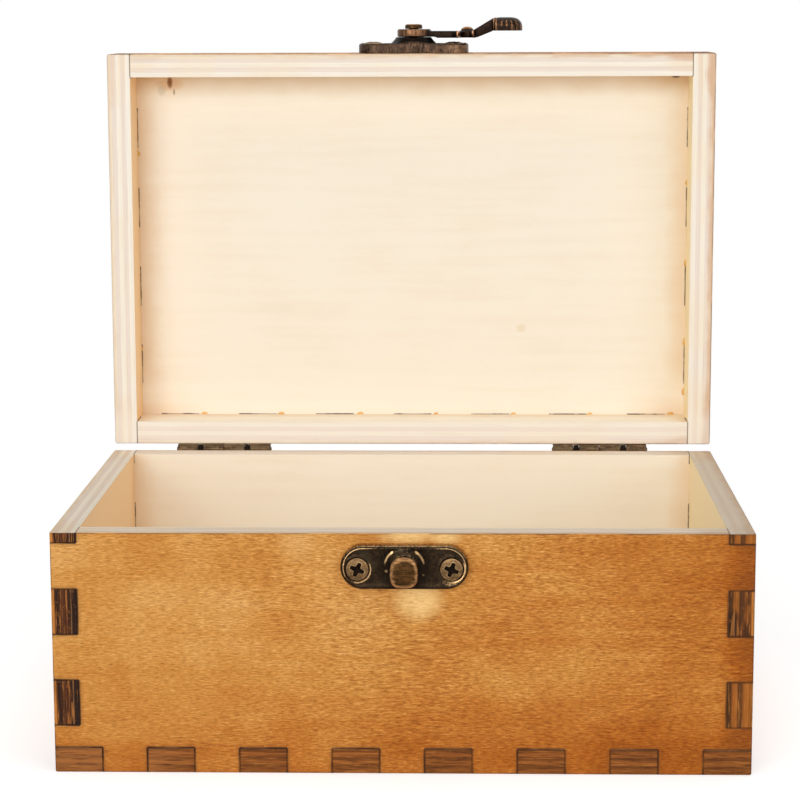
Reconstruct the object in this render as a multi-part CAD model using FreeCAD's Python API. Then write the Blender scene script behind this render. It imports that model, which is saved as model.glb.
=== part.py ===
# Tarot card box: a plywood box, finger jointed on all six sides, glued up and then sawn open.
# Two small butt hinges carry the lid behind the rear face and a swing hook latches it in front.
# Millimetres. +X is to the right seen from the front, +Y to the rear, +Z up.
# The origin is the centre of the underside. The lid stands open, as it is drawn here.
import FreeCAD, Part
import math
import os

# Case, outside sizes
box_width = 160.0
box_depth = 104.0
base_height = 56.5
lid_height = 18.7
board_thickness = 6.0
tenon_width = 10.7  # laser-cut tenons along the depth and the height, as wide as their gaps
tenon_pitch = 21.4
long_tenon_width = 10.3  # tenons along the width of the box
long_tenon_pitch = 21.25
saw_kerf = 0.8  # lost where the glued box was sawn into base and lid
arris_radius = 0.5  # sanded outside edges
rim_arris_radius = 0.25  # edges of the sawn rims
rim_gap = 0.2  # between the two rims when the lid is closed
lid_open_angle = 90.0

# Hinges, one near each end of the rear face
hinge_inset = 29.5  # from the end of the box to the middle of its hinge
hinge_length = 25.0
hinge_leaf_height = 8.7  # from the pin's axis to the free edge
hinge_leaf_thickness = 0.6
hinge_leaf_corner_radius = 1.0
knuckle_radius = 1.25
knuckle_gap = 1.6  # the pin shows in these
knuckle_end_play = 0.15  # between the two middle knuckles
knuckle_wall_gap = 0.15  # between the knuckles and the rear face
pin_running_clearance = 0.05
pin_end_length = 0.3  # domed ends that stand out of the outer knuckles
hinge_screw_spacing = 15.0
hinge_screw_drop = 5.3  # from the pin's axis

# Latch and catch plates
latch_x = 0.7
catch_drop = 7.4  # catch post below the base's rim
latch_rise = 6.5  # hook rivet above the lid's rim
plate_length = 29.0
plate_height = 10.1
plate_thickness = 2.6
plate_edge_radius = 0.6
plate_screw_spacing = 21.3
catch_screw_drop = 0.4  # of the catch plate's screws below the middle of the plate
latch_boss_radius = 6.6
latch_boss_top_radius = 4.6
latch_boss_rise = 1.6
catch_boss_radius = 4.7
catch_boss_top_radius = 3.0
catch_boss_rise = 1.1
boss_hollow = (0.62, 0.30)  # middle of a boss's hollow side, in shares of its run and rise

# Swing hook
hook_thickness = 1.8
hook_ring_thickness = 2.0
hook_arm_drop = 0.3  # of the arm below the ring
hook_arm_drop_start = 5.4  # clear of the boss
hook_plate_gap = 0.1  # the hook turns this far above the boss of its plate
hook_ring_radius = 4.3
hook_arm_width = 4.6
hook_eye_radius = 4.5
hook_lip_width = 1.0
hook_lip_rise = 0.9
hook_lip_angle = 44.0
hook_bend_start = 16.0
hook_bend_rise = 3.55
hook_underside_start = 16.5  # the underside climbs less, so the bend thickens towards the tab
hook_underside_rise = 1.95
hook_tab_start = 20.9
hook_tab_length = 7.8
hook_tab_width = 7.4
hook_tab_height = 3.55
hook_tab_wall = 1.0
tab_root_rise = 0.86  # the tab's outline, in shares of its length or half width and of its height
tab_crown = (0.45, 1.0)
tab_shoulder = (0.80, 0.84)
tab_nose = (0.95, 0.50)
tab_flank = (0.74, 0.68)

# Rivet of the hook and post of the catch
rivet_shaft_radius = 1.3
rivet_running_clearance = 0.05
rivet_head_radius = 2.3
rivet_head_height = 1.2
rivet_head_gap = 0.1
rivet_edge_radius = 0.5
post_neck_radius = 1.5
post_head_width = 6.4
post_head_depth = 7.1  # up and down the front face
post_head_corner_radius = 2.5
post_head_height = 1.2
post_edge_radius = 0.5
post_clearance = 0.25  # between the post's neck and the notch that is swung round it
post_head_gap = 1.45  # between the post's head and the flat arm, so that the bend clears it too
tail_radius = 2.3
tail_height = 0.7
tail_clearance = 0.05

# Wood screws
plate_screw_head_radius = 2.55
plate_screw_shank_radius = 1.1
plate_screw_depth = 5.0  # in the wood
plate_screw_dome = 0.5
plate_screw_sink = 1.5
hinge_screw_head_radius = 1.75
hinge_screw_shank_radius = 0.85
hinge_screw_depth = 4.2
hinge_screw_dome = 0.3
hinge_screw_sink = 0.45
screw_clearance = 0.05
cross_slot_width = 0.28  # as a share of the head's radius
cross_slot_reach = 0.62
cross_slot_depth = 0.4

inner_width = box_width - 2 * board_thickness
inner_depth = box_depth - 2 * board_thickness
glued_height = base_height + saw_kerf + lid_height
inner_height = glued_height - 2 * board_thickness

hinge_axis_y = box_depth / 2 + knuckle_wall_gap + knuckle_radius
hinge_axis_z = base_height + rim_gap / 2
closed_lid_rim_z = base_height + rim_gap
catch_z = base_height - catch_drop
latch_z = closed_lid_rim_z + latch_rise
hook_reach = latch_z - catch_z
latch_boss_top = plate_thickness + latch_boss_rise
hook_bottom = latch_boss_top + hook_plate_gap
hook_top = hook_bottom + hook_ring_thickness
arm_bottom = hook_bottom - hook_arm_drop
arm_top = arm_bottom + hook_thickness

X_AXIS = FreeCAD.Vector(1, 0, 0)
Z_AXIS = FreeCAD.Vector(0, 0, 1)
ORIGIN = FreeCAD.Vector(0, 0, 0)


def point(x, y, z):
    return FreeCAD.Vector(x, y, z)


def block(x_span, y_span, z_span):
    """A box between the low and the high value on each axis."""
    low = point(x_span[0], y_span[0], z_span[0])
    return Part.makeBox(x_span[1] - x_span[0], y_span[1] - y_span[0], z_span[1] - z_span[0], low)


def joined(shapes):
    return shapes[0].fuse(shapes[1:]).removeSplitter()


def turned(shape, angle, axis, centre=ORIGIN):
    result = shape.copy()
    result.rotate(centre, axis, angle)
    return result


def moved(shape, x, y, z):
    result = shape.copy()
    result.translate(point(x, y, z))
    return result


def disc(radius, low, high, x=0.0, y=0.0):
    """A round bar along Z."""
    return Part.makeCylinder(radius, high - low, point(x, y, low))


def edges_at_height(shape, height):
    """The edges that lie wholly at one height."""
    found = []
    for edge in shape.Edges:
        bounds = edge.BoundBox
        if abs(bounds.ZMin - height) < 1e-6 and abs(bounds.ZMax - height) < 1e-6:
            found.append(edge)
    return found


def tenon_spans(inner_length, middle, width, pitch):
    """Low and high end of each tenon along one edge, evenly spaced about its middle."""
    count = int((inner_length + pitch - width) // pitch)
    first = middle - ((count - 1) * pitch + width) / 2
    return [(first + i * pitch, first + i * pitch + width) for i in range(count)]


WIDTH_TENONS = tenon_spans(inner_width, 0.0, long_tenon_width, long_tenon_pitch)
DEPTH_TENONS = tenon_spans(inner_depth, 0.0, tenon_width, tenon_pitch)
HEIGHT_TENONS = tenon_spans(inner_height, glued_height / 2, tenon_width, tenon_pitch)


def span_about(half_length):
    return (-half_length, half_length)


def side_span(side, inner_half):
    """The thickness of a board that stands on one side of the middle."""
    ends = (side * inner_half, side * (inner_half + board_thickness))
    return (min(ends), max(ends))


def level_spans():
    """The thickness of the bottom and of the top board."""
    return [(0.0, board_thickness), (glued_height - board_thickness, glued_height)]


def end_board(side):
    """Front board for side -1, rear board for side 1, as glued and before the saw cut."""
    thickness = side_span(side, inner_depth / 2)
    upright = (board_thickness, glued_height - board_thickness)
    board = block(span_about(box_width / 2), thickness, upright)
    for tenon in HEIGHT_TENONS:
        for end in (-1, 1):
            board = board.cut(block(side_span(end, inner_width / 2), thickness, tenon))
    tenons = [block(tenon, thickness, level) for tenon in WIDTH_TENONS for level in level_spans()]
    return joined([board] + tenons)


def side_board(side):
    """Left board for side -1, right board for side 1, as glued and before the saw cut."""
    thickness = side_span(side, inner_width / 2)
    upright = (board_thickness, glued_height - board_thickness)
    board = block(thickness, span_about(inner_depth / 2), upright)
    corner_tenons = [block(thickness, span_about(box_depth / 2), tenon) for tenon in HEIGHT_TENONS]
    level_tenons = [block(thickness, tenon, level) for tenon in DEPTH_TENONS for level in level_spans()]
    return joined([board] + corner_tenons + level_tenons)


def level_board(level):
    """Bottom or top board, notched for the tenons of the four upright boards."""
    board = block(span_about(box_width / 2), span_about(box_depth / 2), level)
    for side in (-1, 1):
        for tenon in WIDTH_TENONS:
            board = board.cut(block(tenon, side_span(side, inner_depth / 2), level))
        for tenon in DEPTH_TENONS:
            board = board.cut(block(side_span(side, inner_width / 2), tenon, level))
    return board


def eased_half(z_span, closed_z, rim_z):
    """Outside of the base or the lid, with sanded edges. closed_z is its closed end, rim_z its sawn rim."""
    half = block(span_about(box_width / 2), span_about(box_depth / 2), z_span)
    corners = [edge for edge in half.Edges if edge.BoundBox.ZLength > (z_span[1] - z_span[0]) / 2]
    half = half.makeFillet(arris_radius, corners + edges_at_height(half, closed_z))
    return half.makeFillet(rim_arris_radius, edges_at_height(half, rim_z))


def open_lid(shape):
    """Turns a shape from where it is with the lid closed to where it is with the lid open."""
    return turned(shape, -lid_open_angle, X_AXIS, point(0, hinge_axis_y, hinge_axis_z))


def case_boards():
    """The ten wooden boards, five in the base and five in the closed lid."""
    base_outside = eased_half((0.0, base_height), 0.0, base_height)
    sawn_z = base_height + saw_kerf
    lid_outside = eased_half((sawn_z, glued_height), glued_height, sawn_z)
    bottom_level, top_level = level_spans()
    uprights = {
        "front_panel": end_board(-1),
        "rear_panel": end_board(1),
        "left_panel": side_board(-1),
        "right_panel": side_board(1),
    }
    base_boards = {"base_" + name: board.common(base_outside) for name, board in uprights.items()}
    base_boards["base_bottom_panel"] = level_board(bottom_level).common(base_outside)
    lid_boards = {"lid_" + name: board.common(lid_outside) for name, board in uprights.items()}
    lid_boards["lid_top_panel"] = level_board(top_level).common(lid_outside)
    drop = closed_lid_rim_z - sawn_z
    return base_boards, {name: moved(board, 0, 0, drop) for name, board in lid_boards.items()}


def cross_slot(head_radius, top):
    """The cross recess in a screw's head."""
    reach = cross_slot_reach * head_radius
    half = cross_slot_width * head_radius / 2
    span = (top - cross_slot_depth, top + cross_slot_depth)
    along = block(span_about(reach), span_about(half), span)
    return along.fuse(block(span_about(half), span_about(reach), span))


def screw(head_radius, shank_radius, sink, dome, tip_z):
    """A raised countersunk wood screw along Z. Its head's edge is at z 0 and its point at tip_z."""
    bulge = point(head_radius * math.sin(math.pi / 4), 0, dome * math.sin(math.pi / 4))
    crown = Part.Arc(point(head_radius, 0, 0), bulge, point(0, 0, dome)).toShape()
    outline = [
        point(0, 0, dome),
        point(0, 0, tip_z),
        point(shank_radius, 0, tip_z + 2 * shank_radius),
        point(shank_radius, 0, -sink),
        point(head_radius, 0, 0),
    ]
    lines = [Part.LineSegment(start, end).toShape() for start, end in zip(outline, outline[1:])]
    section = Part.Face(Part.Wire(Part.__sortEdges__(lines + [crown])))
    solid = section.revolve(ORIGIN, Z_AXIS, 360)
    return solid.cut(cross_slot(head_radius, dome))


def screw_seat(head_radius, shank_radius, sink, depth):
    """What a screw needs in the metal that it holds: its countersink and its through hole."""
    wide = head_radius + screw_clearance
    narrow = shank_radius + screw_clearance
    cone = Part.makeCone(narrow, wide, sink, point(0, 0, -sink))
    above = disc(wide, 0, depth)
    return cone.fuse([above, disc(narrow, -depth, -sink / 2)])


def stadium(length, height, thickness):
    """A flat bar with fully round ends, its back at z 0."""
    radius = height / 2
    half = length / 2 - radius
    middle = block(span_about(half), span_about(radius), (0, thickness))
    return joined([middle, disc(radius, 0, thickness, -half), disc(radius, 0, thickness, half)])


def boss(foot_radius, top_radius, rise):
    """A flared boss: its side is a hollow curve from the foot in to the top."""
    run = foot_radius - top_radius
    foot = point(foot_radius, 0, plate_thickness)
    middle = point(foot_radius - boss_hollow[0] * run, 0, plate_thickness + boss_hollow[1] * rise)
    shoulder = point(top_radius, 0, plate_thickness + rise)
    side = Part.Arc(foot, middle, shoulder).toShape()
    centre_top = point(0, 0, plate_thickness + rise)
    centre_foot = point(0, 0, plate_edge_radius)
    low_foot = point(foot_radius, 0, plate_edge_radius)
    outline = [shoulder, centre_top, centre_foot, low_foot, foot]
    lines = [Part.LineSegment(start, end).toShape() for start, end in zip(outline, outline[1:])]
    section = Part.Face(Part.Wire(Part.__sortEdges__(lines + [side])))
    return section.revolve(ORIGIN, Z_AXIS, 360)


def face_plate(boss_foot_radius, boss_top_radius, boss_rise, shaft_radius, screw_drop=0.0):
    """A plate of the latch, with a boss for its shaft and two countersunk screw holes."""
    plate = stadium(plate_length, plate_height, plate_thickness)
    plate = plate.makeFillet(plate_edge_radius, edges_at_height(plate, plate_thickness))
    outline = stadium(plate_length, plate_height, plate_thickness + boss_rise)
    plate = joined([plate, boss(boss_foot_radius, boss_top_radius, boss_rise).common(outline)])
    top = plate_thickness + boss_rise
    plate = plate.cut(disc(shaft_radius + tail_clearance, -1, top + 1))
    plate = plate.cut(disc(tail_radius + tail_clearance, -1, tail_height + tail_clearance))
    through = plate_thickness + 1
    seat = screw_seat(plate_screw_head_radius, plate_screw_shank_radius, plate_screw_sink, through)
    for side in (-1, 1):
        plate = plate.cut(moved(seat, side * plate_screw_spacing / 2, -screw_drop, plate_thickness))
    return plate


def plate_screws(drop=0.0):
    tip = -(plate_thickness + plate_screw_depth)
    one = screw(plate_screw_head_radius, plate_screw_shank_radius, plate_screw_sink, plate_screw_dome, tip)
    places = [side * plate_screw_spacing / 2 for side in (-1, 1)]
    return Part.Compound([moved(one, x, -drop, plate_thickness) for x in places])


def plate_pilot_holes(drop=0.0):
    """Holes in the wood behind a plate."""
    radius = plate_screw_shank_radius + screw_clearance
    depth = plate_screw_depth + screw_clearance
    places = [side * plate_screw_spacing / 2 for side in (-1, 1)]
    return moved(Part.Compound([disc(radius, -depth, 1, x) for x in places]), 0, -drop, 0)


def rounded_bar(width, depth, corner_radius, low, high):
    """A bar along Z with rounded corners."""
    bar = block(span_about(width / 2), span_about(depth / 2), (low, high))
    upright = [edge for edge in bar.Edges if edge.BoundBox.ZLength > (high - low) / 2]
    return bar.makeFillet(corner_radius, upright)


def catch_post():
    """Post that the hook's notch closes round: a neck under a rounded square head."""
    head_low = arm_top + post_head_gap
    head_top = head_low + post_head_height
    head = rounded_bar(post_head_width, post_head_depth, post_head_corner_radius, head_low, head_top)
    head = head.makeFillet(post_edge_radius, edges_at_height(head, head_top))
    neck = disc(post_neck_radius, tail_height / 2, head_low + post_head_height / 2)
    return joined([head, neck, disc(tail_radius, 0.0, tail_height)])


def hook_rivet():
    """Rivet that the hook turns on, upset in the hollow behind its plate."""
    head_low = hook_top + rivet_head_gap
    head_top = head_low + rivet_head_height
    head = disc(rivet_head_radius, head_low, head_top)
    head = head.makeFillet(rivet_edge_radius, edges_at_height(head, head_top))
    shaft = disc(rivet_shaft_radius, tail_height / 2, head_low + rivet_head_height / 2)
    return joined([head, shaft, disc(tail_radius, 0.0, tail_height)])


def hook_notch():
    """Room for the post's neck, and its way out along the arc that the hook swings through."""
    reach = post_neck_radius + post_clearance
    low = hook_bottom - 1
    high = hook_top + hook_lip_rise + 1
    ring = disc(hook_reach + reach, low, high).cut(disc(hook_reach - reach, low, high))
    way_out = ring.common(block((0, 2 * hook_reach), (-hook_reach, 0), (low, high)))
    return way_out.fuse(disc(reach, low, high, hook_reach))


def hook_lip():
    """Raised lip on the back edge of the hook's eye."""
    low = arm_top - hook_thickness / 2
    high = arm_top + hook_lip_rise
    ring = disc(hook_eye_radius, low, high).cut(disc(hook_eye_radius - hook_lip_width, low, high))
    half = hook_eye_radius * math.tan(math.radians(hook_lip_angle / 2))
    reach = 2 * hook_eye_radius
    corners = [point(0, 0, low), point(2 * half, reach, low), point(-2 * half, reach, low), point(0, 0, low)]
    wedge = Part.Face(Part.makePolygon(corners)).extrude(point(0, 0, high - low))
    return moved(ring.common(wedge), hook_reach, 0, 0)


def hook_arm_outline():
    """Side view of the flat arm and of the bent arm that climbs to the thumb tab, as one face."""
    rise_end = hook_tab_start + hook_tab_wall
    slope = hook_bend_rise / (rise_end - hook_bend_start)
    lean = hook_thickness * slope / 2
    outline = [
        point(0, 0, hook_bottom),
        point(hook_arm_drop_start, 0, hook_bottom),
        point(hook_arm_drop_start + 1, 0, arm_bottom),
        point(hook_underside_start, 0, arm_bottom),
        point(rise_end - lean, 0, arm_bottom + hook_underside_rise),
        point(rise_end - lean, 0, arm_top + hook_bend_rise),
        point(hook_bend_start - lean, 0, arm_top),
        point(0, 0, arm_top),
        point(0, 0, hook_bottom),
    ]
    return Part.Face(Part.makePolygon(outline))


def extruded(edges, direction):
    return Part.Face(Part.Wire(edges)).extrude(direction)


def dome(length, width, height):
    """A pillow with a flat foot at z 0 that starts at x 0: two arched bars crossed."""
    across = width / 2
    heel = point(0, 0, 0)
    root = point(0, 0, tab_root_rise * height)
    crown = point(tab_crown[0] * length, 0, tab_crown[1] * height)
    shoulder = point(tab_shoulder[0] * length, 0, tab_shoulder[1] * height)
    nose = point(tab_nose[0] * length, 0, tab_nose[1] * height)
    toe = point(length, 0, 0)
    lengthways = [
        Part.LineSegment(heel, root).toShape(),
        Part.Arc(root, crown, shoulder).toShape(),
        Part.Arc(shoulder, nose, toe).toShape(),
        Part.LineSegment(toe, heel).toShape(),
    ]
    top = point(0, 0, height)
    left, right = [point(0, side * across, 0) for side in (-1, 1)]
    flanks = [point(0, side * tab_flank[0] * across, tab_flank[1] * height) for side in (-1, 1)]
    crossways = [
        Part.Arc(left, flanks[0], top).toShape(),
        Part.Arc(top, flanks[1], right).toShape(),
        Part.LineSegment(right, left).toShape(),
    ]
    long_bar = moved(extruded(lengthways, point(0, width, 0)), 0, -across, 0)
    return long_bar.common(extruded(crossways, point(length, 0, 0)))


def thumb_tab():
    """Cupped tab at the end of the hook, hollow towards the wood."""
    outside = dome(hook_tab_length, hook_tab_width, hook_tab_height)
    hollow_length = hook_tab_length - 2 * hook_tab_wall
    hollow_width = hook_tab_width - 2 * hook_tab_wall
    hollow = dome(hollow_length, hollow_width, hook_tab_height - hook_tab_wall)
    shell = outside.cut(moved(hollow, hook_tab_wall, 0, 0))
    foot = arm_top + hook_bend_rise - hook_tab_height
    return moved(shell, hook_tab_start, 0, foot)


def swing_hook():
    """Hook with its ring, arm, notched eye and thumb tab, pointing along +X from its rivet."""
    half = hook_arm_width / 2
    arm = hook_arm_outline().extrude(point(0, hook_arm_width, 0))
    arm = moved(arm, 0, -half, 0)
    ring = disc(hook_ring_radius, hook_bottom, hook_top)
    eye = disc(hook_eye_radius, arm_bottom, arm_top, hook_reach)
    before_bend = block((0, hook_bend_start), span_about(box_width), (arm_bottom, arm_top))
    hook = joined([arm, ring, eye.common(before_bend), hook_lip(), thumb_tab()])
    hook = hook.cut(disc(rivet_shaft_radius + rivet_running_clearance, hook_bottom - 1, hook_top + 1))
    return hook.cut(hook_notch())


def on_front(shape, height):
    """Sets a latch piece, drawn lying on its back, on the front face at the given height."""
    return moved(turned(shape, 90, X_AXIS), latch_x, -box_depth / 2, height)


def knuckle_spans():
    """Low and high end of the four knuckles along the hinge, from its left end."""
    length = (hinge_length - 2 * knuckle_gap - knuckle_end_play) / 4
    starts = [0.0, length + knuckle_gap]
    starts.append(starts[1] + length + knuckle_end_play)
    starts.append(starts[2] + length + knuckle_gap)
    return [(start - hinge_length / 2, start + length - hinge_length / 2) for start in starts]


BASE_KNUCKLES = knuckle_spans()[0::2]
LID_KNUCKLES = knuckle_spans()[1::2]


def bar_along_x(radius, x_span):
    return Part.makeCylinder(radius, x_span[1] - x_span[0], point(x_span[0], 0, 0), X_AXIS)


def hinge_screw_places():
    return [side * hinge_screw_spacing / 2 for side in (-1, 1)]


def hinge_leaf(knuckles):
    """A leaf below the pin's axis. The axis is along X at the origin and the wood is on the -Y side."""
    wood_y = -(knuckle_radius + knuckle_wall_gap)
    leaf_span = (wood_y, wood_y + hinge_leaf_thickness)
    bore_radius = knuckle_radius - hinge_leaf_thickness
    clear = knuckle_radius + knuckle_wall_gap
    plate = block(span_about(hinge_length / 2), leaf_span, (-hinge_leaf_height, -clear))
    corners = []
    for edge in plate.Edges:
        bounds = edge.BoundBox
        if bounds.YLength > hinge_leaf_thickness / 2 and bounds.ZMax < -hinge_leaf_height / 2:
            corners.append(edge)
    plate = plate.makeFillet(hinge_leaf_corner_radius, corners)
    pieces = [plate]
    for span in knuckles:
        pieces.append(block(span, leaf_span, (-clear, 0)))
        pieces.append(bar_along_x(knuckle_radius, span))
    leaf = joined(pieces)
    leaf = leaf.cut(bar_along_x(bore_radius, span_about(hinge_length)))
    through = hinge_leaf_thickness + 1
    seat = screw_seat(hinge_screw_head_radius, hinge_screw_shank_radius, hinge_screw_sink, through)
    seat = turned(seat, -90, X_AXIS)
    for x in hinge_screw_places():
        leaf = leaf.cut(moved(seat, x, leaf_span[1], -hinge_screw_drop))
    return leaf


def hinge_screws():
    """The two screws of a leaf below the axis."""
    tip = -(hinge_leaf_thickness + hinge_screw_depth)
    one = screw(hinge_screw_head_radius, hinge_screw_shank_radius, hinge_screw_sink, hinge_screw_dome, tip)
    one = turned(one, -90, X_AXIS)
    face_y = hinge_leaf_thickness - knuckle_radius - knuckle_wall_gap
    return Part.Compound([moved(one, x, face_y, -hinge_screw_drop) for x in hinge_screw_places()])


def hinge_pilot_holes():
    """Holes in the rear board behind a leaf below the axis."""
    radius = hinge_screw_shank_radius + screw_clearance
    depth = hinge_screw_depth + screw_clearance
    wood_y = -(knuckle_radius + knuckle_wall_gap)
    hole = turned(disc(radius, -depth, knuckle_wall_gap), -90, X_AXIS)
    return Part.Compound([moved(hole, x, wood_y, -hinge_screw_drop) for x in hinge_screw_places()])


def hinge_pin():
    """Pin with domed ends, as long as the knuckles and a little more."""
    radius = knuckle_radius - hinge_leaf_thickness - pin_running_clearance
    half = hinge_length / 2 + pin_end_length
    pin = bar_along_x(radius, span_about(half))
    ends = [edge for edge in pin.Edges if edge.BoundBox.XLength < pin_end_length]
    return pin.makeFillet(pin_end_length, ends)


def at_hinge(shape, side):
    """Moves a hinge piece from the pin's axis at the origin to the left or right hinge."""
    return moved(shape, side * (box_width / 2 - hinge_inset), hinge_axis_y, hinge_axis_z)


def over_the_axis(shape):
    """Turns a piece of the base's leaf over, to where the lid's leaf is with the lid closed."""
    return shape.mirror(ORIGIN, Z_AXIS)


def hinges():
    """Both hinges with the lid closed, as base pieces, lid pieces and the holes that they need."""
    base_pieces = {}
    lid_pieces = {}
    base_holes = []
    lid_holes = []
    for name, side in (("left", -1), ("right", 1)):
        base_pieces[name + "_hinge_base_leaf"] = at_hinge(hinge_leaf(BASE_KNUCKLES), side)
        base_pieces[name + "_hinge_pin"] = at_hinge(hinge_pin(), side)
        base_pieces[name + "_hinge_base_screws"] = at_hinge(hinge_screws(), side)
        lid_pieces[name + "_hinge_lid_leaf"] = at_hinge(over_the_axis(hinge_leaf(LID_KNUCKLES)), side)
        lid_pieces[name + "_hinge_lid_screws"] = at_hinge(over_the_axis(hinge_screws()), side)
        base_holes.append(at_hinge(hinge_pilot_holes(), side))
        lid_holes.append(at_hinge(over_the_axis(hinge_pilot_holes()), side))
    return base_pieces, lid_pieces, base_holes, lid_holes


def latch():
    """Latch pieces with the lid closed: those on the base, those on the lid and the swing hook."""
    catch_boss = (catch_boss_radius, catch_boss_top_radius, catch_boss_rise)
    catch_plate = face_plate(*catch_boss, post_neck_radius, catch_screw_drop)
    latch_plate = face_plate(latch_boss_radius, latch_boss_top_radius, latch_boss_rise, rivet_shaft_radius)
    base_pieces = {
        "catch_plate": on_front(catch_plate, catch_z),
        "catch_post": on_front(catch_post(), catch_z),
        "catch_plate_screws": on_front(plate_screws(catch_screw_drop), catch_z),
    }
    lid_pieces = {
        "latch_plate": on_front(latch_plate, latch_z),
        "latch_rivet": on_front(hook_rivet(), latch_z),
        "latch_plate_screws": on_front(plate_screws(), latch_z),
        "latch_hook": on_front(swing_hook(), latch_z),
    }
    return base_pieces, lid_pieces


def box_nodes():
    """Every piece of the box by name, with the lid open."""
    base_nodes, lid_nodes = case_boards()
    base_hinge_pieces, lid_hinge_pieces, base_holes, lid_holes = hinges()
    base_latch_pieces, lid_latch_pieces = latch()
    holes = {
        "base_front_panel": on_front(plate_pilot_holes(catch_screw_drop), catch_z),
        "base_rear_panel": base_holes,
        "lid_front_panel": on_front(plate_pilot_holes(), latch_z),
        "lid_rear_panel": lid_holes,
    }
    for nodes in (base_nodes, lid_nodes):
        for name in nodes.keys() & holes.keys():
            nodes[name] = nodes[name].cut(holes[name])
    base_nodes.update({**base_hinge_pieces, **base_latch_pieces})
    lid_nodes.update({**lid_hinge_pieces, **lid_latch_pieces})
    return {**base_nodes, **{name: open_lid(shape) for name, shape in lid_nodes.items()}}


def main():
    os.makedirs("parts", exist_ok=True)
    for name, shape in box_nodes().items():
        shape.exportStep("parts/" + name + ".step")
        print(name, "solids", len(shape.Solids), "valid", shape.isValid(), "volume", round(shape.Volume, 2))


main()
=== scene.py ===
import math

import bmesh
import bpy
import numpy as np
from mathutils import Matrix, Vector
from mathutils.geometry import delaunay_2d_cdt


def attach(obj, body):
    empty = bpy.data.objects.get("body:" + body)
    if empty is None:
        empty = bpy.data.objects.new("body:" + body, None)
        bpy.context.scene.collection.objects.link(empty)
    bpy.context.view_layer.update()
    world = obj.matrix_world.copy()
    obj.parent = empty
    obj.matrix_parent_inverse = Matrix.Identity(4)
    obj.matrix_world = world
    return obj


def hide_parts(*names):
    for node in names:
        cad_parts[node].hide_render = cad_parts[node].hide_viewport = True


# Looks of a finger-jointed plywood card box, stained outside and bare inside, with aged bronze hardware.
# Lengths are in millimetres until a mesh or a light is made.
# The glued box is the box before it was sawn open.

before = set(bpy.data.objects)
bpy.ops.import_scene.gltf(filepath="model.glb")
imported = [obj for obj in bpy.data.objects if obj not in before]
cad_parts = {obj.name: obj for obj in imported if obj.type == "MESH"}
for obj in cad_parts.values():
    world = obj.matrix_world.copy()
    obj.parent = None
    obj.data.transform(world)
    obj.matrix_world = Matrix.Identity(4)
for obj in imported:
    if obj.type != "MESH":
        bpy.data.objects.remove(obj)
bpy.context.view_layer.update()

# Case
box_width = 160.0
box_depth = 104.0
base_height = 56.5
saw_kerf = 0.8
lid_height = 18.7
glued_height = base_height + saw_kerf + lid_height
board_thickness = 6.0
rim_gap = 0.2
tenons = {  # along each edge: how many, about which middle, how wide and how far apart
    "x": (7, 0.0, 10.3, 21.25),
    "y": (4, 0.0, 10.7, 21.4),
    "z": (3, glued_height / 2, 10.7, 21.4),
}
hinge_axis_y = 53.4
hinge_axis_z = base_height + rim_gap / 2

# Latch and catch
latch_x = 0.7
catch_z = 49.1
latch_z = 63.2
plate_length = 29.0
plate_height = 10.1
plate_thickness = 2.6
plate_screw_spacing = 21.3
catch_screw_drop = 0.4
catch_boss = (4.7, 3.0, 1.1)  # radius at the foot, radius at the top, rise
latch_boss = (6.6, 4.6, 1.6)
neck_radius = 1.5
shaft_radius = 1.3
running_clearance = 0.05

# Swing hook
ring_bottom = 4.3
ring_top = 6.3
arm_bottom = 4.0
arm_top = 5.8
hook_reach = 14.1
notch_clearance = 0.25
ring_radius = 4.3
eye_radius = 4.5
arm_width = 4.6
bend_start = 16.0
bend_end = 21.9
bend_rise = 3.55
bend_lean = 0.54  # the bend starts and ends this much sooner above
underside_start = 16.5
underside_rise = 1.95
tab_span = (20.9, 28.7)
tab_width = 7.4
tab_foot = 5.85
tab_top = 9.35
tab_wall = 1.0
nose_radius = 3.7

# Hinges
hinge_middle = 50.5
hinge_length = 25.0
leaf_height = 8.7
leaf_thickness = 0.6
leaf_start = 1.4
knuckle_radius = 1.25
knuckle_gap = 1.6
knuckle_end_play = 0.15
knuckle_wall_gap = 0.15
pin_radius = 0.6
hinge_screw_spacing = 15.0
hinge_screw_drop = 5.3

FAR = 20.0  # further from a joint line than any place on a face


def tint(red, green, blue):
    """A colour as it looks on a screen, from 0 to 255, as the shader wants it."""
    shares = [value / 255 for value in (red, green, blue)]
    return tuple(s / 12.92 if s <= 0.04045 else ((s + 0.055) / 1.055) ** 2.4 for s in shares) + (1.0,)


class Amount:
    """A number that varies over a finish. Arithmetic on it adds the Math nodes that work it out."""

    def __init__(self, finish, socket):
        self.finish = finish
        self.socket = socket

    def __add__(self, other):
        return self.finish.math("ADD", self, other)

    __radd__ = __add__

    def __sub__(self, other):
        return self.finish.math("SUBTRACT", self, other)

    def __rsub__(self, other):
        return self.finish.math("SUBTRACT", other, self)

    def __mul__(self, other):
        return self.finish.math("MULTIPLY", self, other)

    __rmul__ = __mul__

    def __truediv__(self, other):
        return self.finish.math("DIVIDE", self, other)

    def __abs__(self):
        return self.finish.math("ABSOLUTE", self)

    def __gt__(self, other):
        return self.finish.math("GREATER_THAN", self, other)

    def __lt__(self, other):
        return self.finish.math("LESS_THAN", self, other)

    def __pow__(self, other):
        return self.finish.math("POWER", self, other)


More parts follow.
